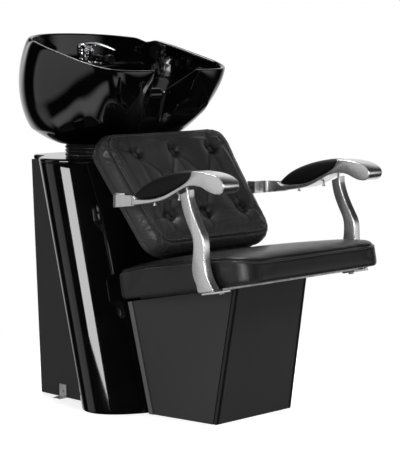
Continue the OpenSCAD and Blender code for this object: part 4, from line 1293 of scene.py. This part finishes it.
# ------------------------------------------------------------ seat cushion
SEAT_HALF, SEAT_LENGTH, SEAT_REAR = 262.0, 489.0, 22
SEAT_POINTS, SEAT_CENTRE = 240, np.array([0, -222])
CROWN_Y = [-470, -455, -430, -380, -300, -200, -110, -45, 30]
CROWN_Z = [62, 68, 75, 82, 86, 90, 93, 90, 84]
CROWN_REF = 86          # the section below is drawn for this crown
# (inset, height)
SEAT_SECTION = [(7, 0), (3.2, 2), (1.4, 6), (0.8, 14), (0.8, 30), (0.8, 48), (1.0, 60),
                (2.0, 68), (4.2, 73.2), (8, 76.6), (14, 79), (26, 81), (45, 82), (70, 82.5)]


def seat_outline(d, n=SEAT_POINTS):
    return resample(trapezoid(SEAT_HALF - d, SEAT_REAR - SEAT_LENGTH + d,
                              SEAT_HALF - d, SEAT_REAR - d,
                              max(62 - d, 12), max(18 - d * 0.4, 6), 10), n)


def seat_crown(y):
    return np.interp(y, CROWN_Y, CROWN_Z)


def seam_z(y):
    """height of the seam between top panel and side band"""
    return 72.0 * seat_crown(y) / CROWN_REF


def make_seat():
    loops = []
    for d, z in SEAT_SECTION:
        Q = seat_outline(d)
        scale = seat_crown(Q[:, 1]) / CROWN_REF
        loops.append(np.c_[Q, z * scale if z > 20 else np.full(len(Q), z)])
    inset_last, top = SEAT_SECTION[-1]
    Q = seat_outline(inset_last)
    for k in (0.75, 0.5, 0.25):
        q = SEAT_CENTRE + (Q - SEAT_CENTRE) * k
        loops.append(np.c_[q, seat_crown(q[:, 1]) * top / CROWN_REF])
    V, F = skin(loops, cap_end=False)
    V, F = fan_cap(V, F, range(len(V) - SEAT_POINTS, len(V)), [*SEAT_CENTRE, top])
    return mesh_obj("seat_cover", seat_world(V), F, 60)


def seat_pin(V, N):
    return np.clip(1.0 - (seat_local(V)[:, 2] - 2) / 8, 0, 1)


def detail_seat(o):
    W, N = coords(o), normals(o)
    q = seat_local(W)
    from_seam = q[:, 2] - seam_z(q[:, 1])
    edge = np.abs(N @ np.array([0, SEAT_SIN, SEAT_COS])) < 0.97     # off the flat top and base
    groove = bell(from_seam, width=1.9) * 2.6
    swell = bell(from_seam - 7, width=5.0) * 0.5 + bell(from_seam + 8, width=6.5) * 0.6
    W = W - N * ((groove - swell) * edge)[:, None]
    # slight dips and pulls in the cover
    W = W + N * (fbm(q, scale=120, octaves=3, seed=3.1) * 0.5)[:, None]
    q = seat_local(W)
    q[:, 2] = np.maximum(q[:, 2], 0.3)
    q[:, 1] = np.minimum(q[:, 1], 26)
    set_coords(o, seat_world(q))


seat = puff(make_seat(), voxel=6.0, pin=seat_pin, reach=6.0, pressure=4, frames=20)
detail_seat(seat)
dress(seat, "seat_vinyl", "stand", "seat_cushion")
row = closed(seat_outline(2, 400))
seat_row = seat_world(np.c_[row, seam_z(row[:, 1]) - 4.6])
dress(stitches("seat_stitches", seat, [seat_row], length=4.2, r=0.6),
      "thread", "stand")

# ------------------------------------------------------------ backrest
BACK_LOW_HALF, BACK_TOP_HALF = 224.0, 238.0
BACK_LOW, BACK_TOP, BACK_POINTS = -187, 184, 260
# (inset, distance out of the front face)
BACK_SECTION = [(7, -14), (0.5, -12.8), (-1.6, -8), (-2.2, 4), (-1.6, 16), (0.5, 24),
                (4.5, 31), (10, 36.5), (20, 41), (32, 43.5), (44, 44), (60, 44.5)]
UPPER_X, UPPER_Z, LOWER_X, LOWER_Z = 142, 110, 138, -92      # button rows
BUTTONS = [(UPPER_X * k, UPPER_Z) for k in (-1, 0, 1)]
BUTTONS += [(LOWER_X * k, LOWER_Z) for k in (-1, 0, 1)] + [(-70, 9), (70, 9)]
# folds between two buttons, by number, and their strength
BUTTON_FOLDS = ((0, 6, 1.0), (6, 4, 1.0), (1, 7, 1.0), (7, 5, 1.0), (1, 6, 0.45), (2, 7, 0.45),
                (6, 3, 0.45), (7, 4, 0.45), (1, 4, 0.5), (2, 5, 0.75), (0, 3, 0.6))
FOLDS = [(BUTTONS[a], BUTTONS[b], w) for a, b, w in BUTTON_FOLDS]
FOLDS += [(b, (b[0] * 1.05, 158), 0.55) for b in BUTTONS[:3]]
FOLDS += [(b, (b[0] * 1.04, -140), 0.55) for b in BUTTONS[3:6]]
for s in (-1, 1):
    FOLDS.append(((UPPER_X * s, UPPER_Z), (204 * s, 122), 0.5))
    FOLDS.append(((LOWER_X * s, LOWER_Z), (196 * s, -100), 0.5))


def back_outline(d, n=BACK_POINTS):
    return resample(trapezoid(BACK_LOW_HALF - d, BACK_LOW + d, BACK_TOP_HALF - d, BACK_TOP - d,
                              max(60 - d * 0.8, 14), max(52 - d * 0.8, 14), 10), n)


def back_loop(outline, out):
    """(x, z) outline set at a distance out of the front face"""
    return np.c_[outline[:, 0], np.full(len(outline), out), outline[:, 1]]


def make_back():
    loops = [back_loop(back_outline(d), out) for d, out in BACK_SECTION]
    centre = np.array([0, 1.0])
    Q = back_outline(60)
    for k in (0.75, 0.5, 0.25):
        loops.append(back_loop(centre + (Q - centre) * k, 44.5 + (1 - k) * 1.5))
    V, F = skin(loops, cap_end=False)
    V, F = fan_cap(V, F, range(len(V) - BACK_POINTS, len(V)), [0, 46, 1])
    front = V[:, 1] > 36
    for bx, bz in BUTTONS:
        r = np.hypot(V[:, 0] - bx, V[:, 2] - bz)
        V[:, 1] -= np.where(front, 10 * bell(r, width=22), 0)
    return mesh_obj("back_cover", back_world(V), F, 60)


def segment_distance(x, z, a, b):
    """distance to the segment from a to b, and the nearest place along it"""
    d = np.array(b, float) - a
    t = np.clip(((x - a[0]) * d[0] + (z - a[1]) * d[1]) / (d @ d), 0, 1)
    return np.hypot(x - a[0] - t * d[0], z - a[1] - t * d[1]), t


def back_pin(V, N):
    """held at the rear, and by the buttons and folds in front"""
    x, n, z = back_local(V).T
    held = (n < -11).astype(float)
    for bx, bz in BUTTONS:
        r = np.hypot(x - bx, z - bz)
        held = np.maximum(held, np.where(n > 10, bell(r, width=9, power=4), 0))
    for a, b, w in FOLDS:
        d, _ = segment_distance(x, z, a, b)
        held = np.maximum(held, np.where(n > 10, 0.75 * w * bell(d, width=4.5), 0))
    return held


def tufting(x, z):
    """depth of the cut at buttons and folds, and distance to the nearest of them"""
    cut = np.zeros(len(x))
    far = np.full(len(x), 60.0)
    for bx, bz in BUTTONS:
        r = np.hypot(x - bx, z - bz)
        an = np.arctan2(z - bz, x - bx)
        far = np.minimum(far, r)
        pleats = 0                      # seven short pleats fan out from the button
        for k in range(7):
            a0 = (0.9 * k + bx * 0.011 + bz * 0.007) % TAU
            off = np.angle(np.exp(1j * (an - a0)))
            pleats = pleats + bell(off, width=0.3) * (0.6 + 0.4 * math.sin(3.1 * k + bx))
        pit = 12.0 * bell(np.maximum(r - 9.5, 0), width=11.0, power=1.4)
        cut = np.maximum(cut, pit + 1.5 * pleats * bell(r - 19, width=12))
    for a, b, w in FOLDS:
        d, t = segment_distance(x, z, a, b)
        ends = np.where((t > 0) & (t < 1), 1.0, bell(d, width=3))
        far = np.minimum(far, d / max(w, 0.5))
        groove = 4.8 * w * bell(d, width=4.4, power=1.3)
        cut = np.maximum(cut, groove * (1 - 0.3 * np.sin(math.pi * t)) * ends)
    return cut, far


def outline_distance(points, outline, mask):
    """distance to the outline's points where mask holds, 99 elsewhere"""
    out = np.full(len(points), 99.0)
    idx = np.nonzero(mask)[0]
    for k in range(0, len(idx), 4000):
        s = idx[k:k + 4000]
        out[s] = np.sqrt(((points[s, None] - outline[None]) ** 2).sum(2)).min(1)
    return out


def detail_back(o):
    W, N = coords(o), normals(o)
    x, n, z = back_local(W).T
    facing = -(N[:, 1] * BACK_COS - N[:, 2] * BACK_SIN)     # 1 straight out of the front
    front = ease(0.35, 0.8, facing) * (n > 20)
    cut, far = tufting(x, z)
    # painted shade: the cover's colour darkens with the depth of the tufting cuts, except on the
    # buttons
    shadow = 0.85 * np.clip(cut / 9.0, 0, 1) ** 1.4 * front
    for bx, bz in BUTTONS:
        shadow = shadow * ease(6.0, 10.5, np.hypot(x - bx, z - bz))
    to_edge = np.minimum(BACK_LOW_HALF - np.abs(x), np.minimum(z + 182, BACK_TOP - z))
    swell = 7.0 * (1 - bell(far, width=26, power=1.5)) * ease(34, 48, to_edge)
    W = W + N * ((swell - cut) * front)[:, None]
    # border channel, and the crease inside the stitched edge
    near = n > 10
    flat = np.c_[x, z]
    channel = outline_distance(flat, back_outline(40, 400), near)
    crease = outline_distance(flat, back_outline(13, 400), near)
    P = np.c_[x, n, z]
    uneven = 0.75 + 0.5 * fbm(P, scale=45, octaves=2, seed=1.7)
    side = 0.35 + 0.65 * ease(150, 196, np.abs(x))
    W = W - N * ((2.6 * bell(channel, width=4.4) * uneven * front * side)
                 + 1.9 * bell(crease, width=3.0) * near)[:, None]
    # cross wrinkles along the stitched edge, stronger at the corners
    wave = np.sin(np.arctan2(z, x) * 60 + 9 * fbm(P, scale=40, octaves=3, seed=5.0))
    corners = 0.25 + 0.75 * ease(110, 190, np.abs(x)) * ease(60, 140, np.abs(z))
    W = W - N * (0.7 * wave * (bell(crease - 10, width=9) * near * corners))[:, None]
    # slack in the side band, then in the front
    band = ease(0.5, 0.2, facing) * ease(-12, -4, n)
    slack = fbm(np.c_[x, n * 2.2, z], scale=55, octaves=3, seed=9.0)
    W = W + N * (band * 0.9 * slack)[:, None]
    W = W + N * (front * 0.8 * fbm(P, scale=38, octaves=3, seed=2.0))[:, None]
    set_coords(o, W)
    # painted shade in the tufting folds and along the crease inside the stitched edge, stored in
    # the crease attribute
    painted_fold_shade = np.maximum(shadow, 0.6 * bell(crease, width=2.6) * near)
    attribute = o.data.attributes.new("crease", "FLOAT", "POINT")
    attribute.data.foreach_set("value", painted_fold_shade.astype(np.float32))


back = puff(make_back(), voxel=5.0, pin=back_pin, reach=9.0, pressure=14.0, frames=20, stiff=8.0)
detail_back(back)
dress(back, "back_vinyl", "stand", "backrest_cushion")
back_rows = [back_world(back_loop(closed(back_outline(d, 500)), out))
             for d, out in ((9.5, 40), (16.5, 46))]
dress(stitches("back_stitches", back, back_rows, length=4.4, r=0.65),
      "thread", "stand")

BUTTON_PROFILE = [(0, -2.5), (8.6, -2.5), (9.6, 0.0), (9.6, 2.2), (8.0, 5.0), (4.6, 6.8),
                  (0, 7.4)]


def make_buttons():
    """buttons set where lines into the front face meet the cover"""
    outwards = Vector(back_world([0, 1.0, 0]) - back_world([0, 0.0, 0]))
    tree = surface_tree(back)
    made = []
    for bx, bz in BUTTONS:
        hit = tree.ray_cast(Vector(back_world([bx, 90.0, bz])) * TO_M, -outwards)[0]
        place = np.array(hit) * TO_MM if hit else back_world([bx, 30.0, bz])
        made.append(revolve(f"bt{bx}_{bz}", fillet(BUTTON_PROFILE, 1.2), place, outwards, 36))
    return merge("tuft_buttons", made, 60)


dress(make_buttons(), "back_vinyl", "stand", "backrest_buttons")


def make_back_board():
    levels = ((-30.4, 9), (-30.0, 7), (-28.4, 5.6), (-26, 5), (-18.5, 5), (-16, 6), (-14.8, 8.5))
    V, F = skin([back_loop(back_outline(d), out) for out, d in levels])
    board = mesh_obj("back_shell", back_world(V), F, 50)
    # a patch in the middle is kept from reaching further back than y = 120.3
    W = coords(board)
    patch = (W[:, 2] < 675.6) & (W[:, 2] > 640) & (np.abs(W[:, 0]) < 110)
    W[patch, 1] = np.minimum(W[patch, 1], 120.3)
    set_coords(board, W)
    return board


dress(make_back_board(), "back_vinyl", "stand", "backrest_board")

# ------------------------------------------------------------ edges of the carried-over parts
# bevel width: parts
BEVELS = {
    0.4: "floor_bracket_left floor_bracket_right floor_bracket_screws strainer",
    0.5: "base_corner_trims post_bolts pad_screws drain_flange",
    0.6: "base_rear_trims seat_board lower_pivot_bracket backrest_bracket drain_tailpiece "
         "hose_nuts mixer_nut",
    0.7: "cross_bar",
    0.8: "strap_bolts door_knob shower_holder upper_pivot_bracket waste_pipe",
    0.9: "base_front_panel base_side_left base_side_right strap_left strap_right",
    1.0: "column_side_left column_side_right base_top_board column_frame seat_frame",
    1.2: "rear_door",
}
for width, parts in BEVELS.items():
    for name in parts.split():
        edge = frame["nodes"][name].modifiers.new("edge", "BEVEL")
        edge.width = width * TO_M
        edge.segments = 2
        edge.limit_method = "ANGLE"
        edge.angle_limit = rad(35)


# ------------------------------------------------------------ floor
def make_floor():
    """white floor that turns to a pure glow away from the product"""
    bpy.ops.mesh.primitive_plane_add(size=24, location=(0, 0, -0.0005))
    floor = bpy.context.object
    floor.name = "studio_floor"
    material, tree, shader = new_material("floor_look")
    set_inputs(tree, shader, {
        "Base Color": (0.8, 0.8, 0.8, 1), "Roughness": 0.9, "Specular IOR Level": 0.1,
        "Emission Color": (1, 1, 1, 1), "Emission Strength": 0.62})
    glow = node(tree, "Emission", {"Strength": 1.0}).outputs[0]
    place = node(tree, "NewGeometry").outputs["Position"]
    distance = node(tree, "VectorMath", {0: place}, operation="LENGTH").outputs["Value"]
    fade = remap(tree, distance, span=(0.55, 1.25), interpolation_type="SMOOTHSTEP")
    surface = node(tree, "MixShader", {0: fade, 1: shader.outputs[0], 2: glow}).outputs[0]
    set_inputs(tree, tree.nodes["Material Output"], {"Surface": surface})
    floor.data.materials.append(material)
    floor.visible_glossy = False
    return floor


make_floor()

# ------------------------------------------------------------ world
# Panels seen in reflections, in degrees: azimuth, half width, lowest and highest elevation,
# strength, softness of the sides, softness of top and bottom. The first is the sweep behind.
PANELS = (
    (45, 40, -52, 34, 0.85, 12, 12), (146, 19, -17, 76, 0.6, 4, 6), (134, 11, -48, -18, 0.5, 6, 7),
    (176, 33, -58, -42, 1.0, 8, 5), (247, 12, -46, -30, 1.0, 7, 6), (263, 10, -31, -13, 0.85, 5, 5),
    (-60, 28, -12, 9, 0.85, 12, 4), (20, 120, 66, 110, 0.5, 12, 5), (0, 400, -110, -68, 0.8, 5, 5))
AMBIENT = 0.005


def make_world():
    """white to the camera, dark with panels to everything else"""
    world = bpy.data.worlds.new("studio")
    scene.world = world
    world.use_nodes = True
    tree = world.node_tree
    tree.nodes.clear()
    view = node(tree, "TexCoord").outputs["Generated"]
    direction = node(tree, "SeparateXYZ", {0: view}).outputs
    degrees = 180 / math.pi
    elevation = calc(tree, "MULTIPLY", calc(tree, "ARCSINE", direction[2]), degrees)
    azimuth = calc(tree, "ARCTAN2", direction[1], direction[0])
    azimuth = calc(tree, "MULTIPLY", azimuth, degrees)

    def soft(value, edge, softness):
        return remap(tree, value, span=(edge - softness, edge + softness),
                     interpolation_type="SMOOTHSTEP")

    total = AMBIENT
    for middle, half, low, high, strength, soft_side, soft_end in PANELS:
        turn = calc(tree, "ADD", calc(tree, "SUBTRACT", azimuth, middle), 540.0)
        turn = calc(tree, "SUBTRACT", calc(tree, "MODULO", turn, 360.0), 180.0)
        off = calc(tree, "ABSOLUTE", turn)
        across = calc(tree, "SUBTRACT", 1.0, soft(off, half, soft_side))
        below_top = calc(tree, "SUBTRACT", 1.0, soft(elevation, high, soft_end))
        upright = calc(tree, "MULTIPLY", soft(elevation, low, soft_end), below_top)
        panel = calc(tree, "MULTIPLY", calc(tree, "MULTIPLY", across, upright), strength)
        total = calc(tree, "ADD", total, panel)
    white = (1, 1, 1, 1)
    seen = node(tree, "Background", {"Color": white, "Strength": 1.0}).outputs[0]
    lit = node(tree, "Background", {"Color": white, "Strength": total}).outputs[0]
    to_camera = node(tree, "LightPath").outputs["Is Camera Ray"]
    surface = node(tree, "MixShader", {0: to_camera, 1: lit, 2: seen}).outputs[0]
    node(tree, "OutputWorld", {"Surface": surface})


make_world()

# ------------------------------------------------------------ lights
SOFTBOX_AIM, SOFTBOX_TURN, SOFTBOX_FAR = (-0.25, 0.15, 0.98), rad(-155.5), 3.0
SOFTBOX = (SOFTBOX_FAR * math.cos(SOFTBOX_TURN) + SOFTBOX_AIM[0],
           SOFTBOX_FAR * math.sin(SOFTBOX_TURN) + SOFTBOX_AIM[1], SOFTBOX_AIM[2])
# name, place, aim, width and height, watts, seen in reflections
LIGHTS = (
    ("softbox_left", SOFTBOX, SOFTBOX_AIM, (1.28, 1.16), 46, True),
    ("fill_front", (-0.3, -2.9, 2.6), (0, 0, 0.55), (1.7, 1.1), 50, False),
    ("metal_panel", (0.5, -3.4, 1.3), (0, 0, 0.5), (0.7, 1.6), 26, True),
    ("top_soft", (0.2, 0.2, 3.1), (0, 0.05, 0.4), (2.6, 2.6), 60, False),
    ("top_strip", (0.5, 1.1, 2.7), (0, 0.25, 0.9), (0.9, 0.5), 20, True),
    ("side_right", (3.0, -1.6, 1.8), (0, 0, 0.6), (1.6, 1.8), 40, False),
)
BRUSHED = ("arm_casting_left", "arm_casting_right", "post_left", "post_right",
           "strap_left", "strap_right")


def area_light(name, place, aim, size, watts, glossy):
    light = bpy.data.lights.new(name, "AREA")
    light.shape = "RECTANGLE"
    light.size, light.size_y = size
    light.energy = watts
    light.spread = rad(180)
    o = bpy.data.objects.new(name, light)
    o.location = place
    o.rotation_euler = (Vector(aim) - Vector(place)).to_track_quat("-Z", "Y").to_euler()
    o.visible_glossy = glossy
    o.visible_camera = False
    scene.collection.objects.link(o)
    return o


def receivers(light, name, objects):
    """links a light to a collection of objects"""
    group = bpy.data.collections.new(name)
    for o in objects:
        group.objects.link(o)
    light.light_linking.receiver_collection = group
    return group


lamps = {row[0]: area_light(*row) for row in LIGHTS}
# the left softbox gives the shell its upright highlight but leaves the bowl alone
excluded = receivers(lamps["softbox_left"], "softbox_left_off", [basin])
excluded.collection_objects[0].light_linking.link_state = "EXCLUDE"
# the metal panel lights only brushed parts; a frame part may carry another object name
receivers(lamps["metal_panel"], "metal_only",
          [bpy.data.objects[n] for n in BRUSHED if n in bpy.data.objects])

# ------------------------------------------------------------ camera
CAMERA_PLACE = (-3.20224, -3.24831, 1.0153)
CAMERA_HEADING, CAMERA_DIP = rad(45), rad(6.66)     # from +y towards +x, and downwards
camera = bpy.data.cameras.new("photo_view")
camera.sensor_width = 36
camera.lens = 132.299606
camera.clip_start, camera.clip_end = 0.1, 60
viewer = add_object("photo_view", camera)
viewer.location = CAMERA_PLACE
gaze = Vector((math.cos(CAMERA_DIP) * math.sin(CAMERA_HEADING),
               math.cos(CAMERA_DIP) * math.cos(CAMERA_HEADING), -math.sin(CAMERA_DIP)))
viewer.rotation_euler = gaze.to_track_quat("-Z", "Y").to_euler()
scene.camera = viewer
scene.view_settings.view_transform = "Standard"
scene.view_settings.look = "None"
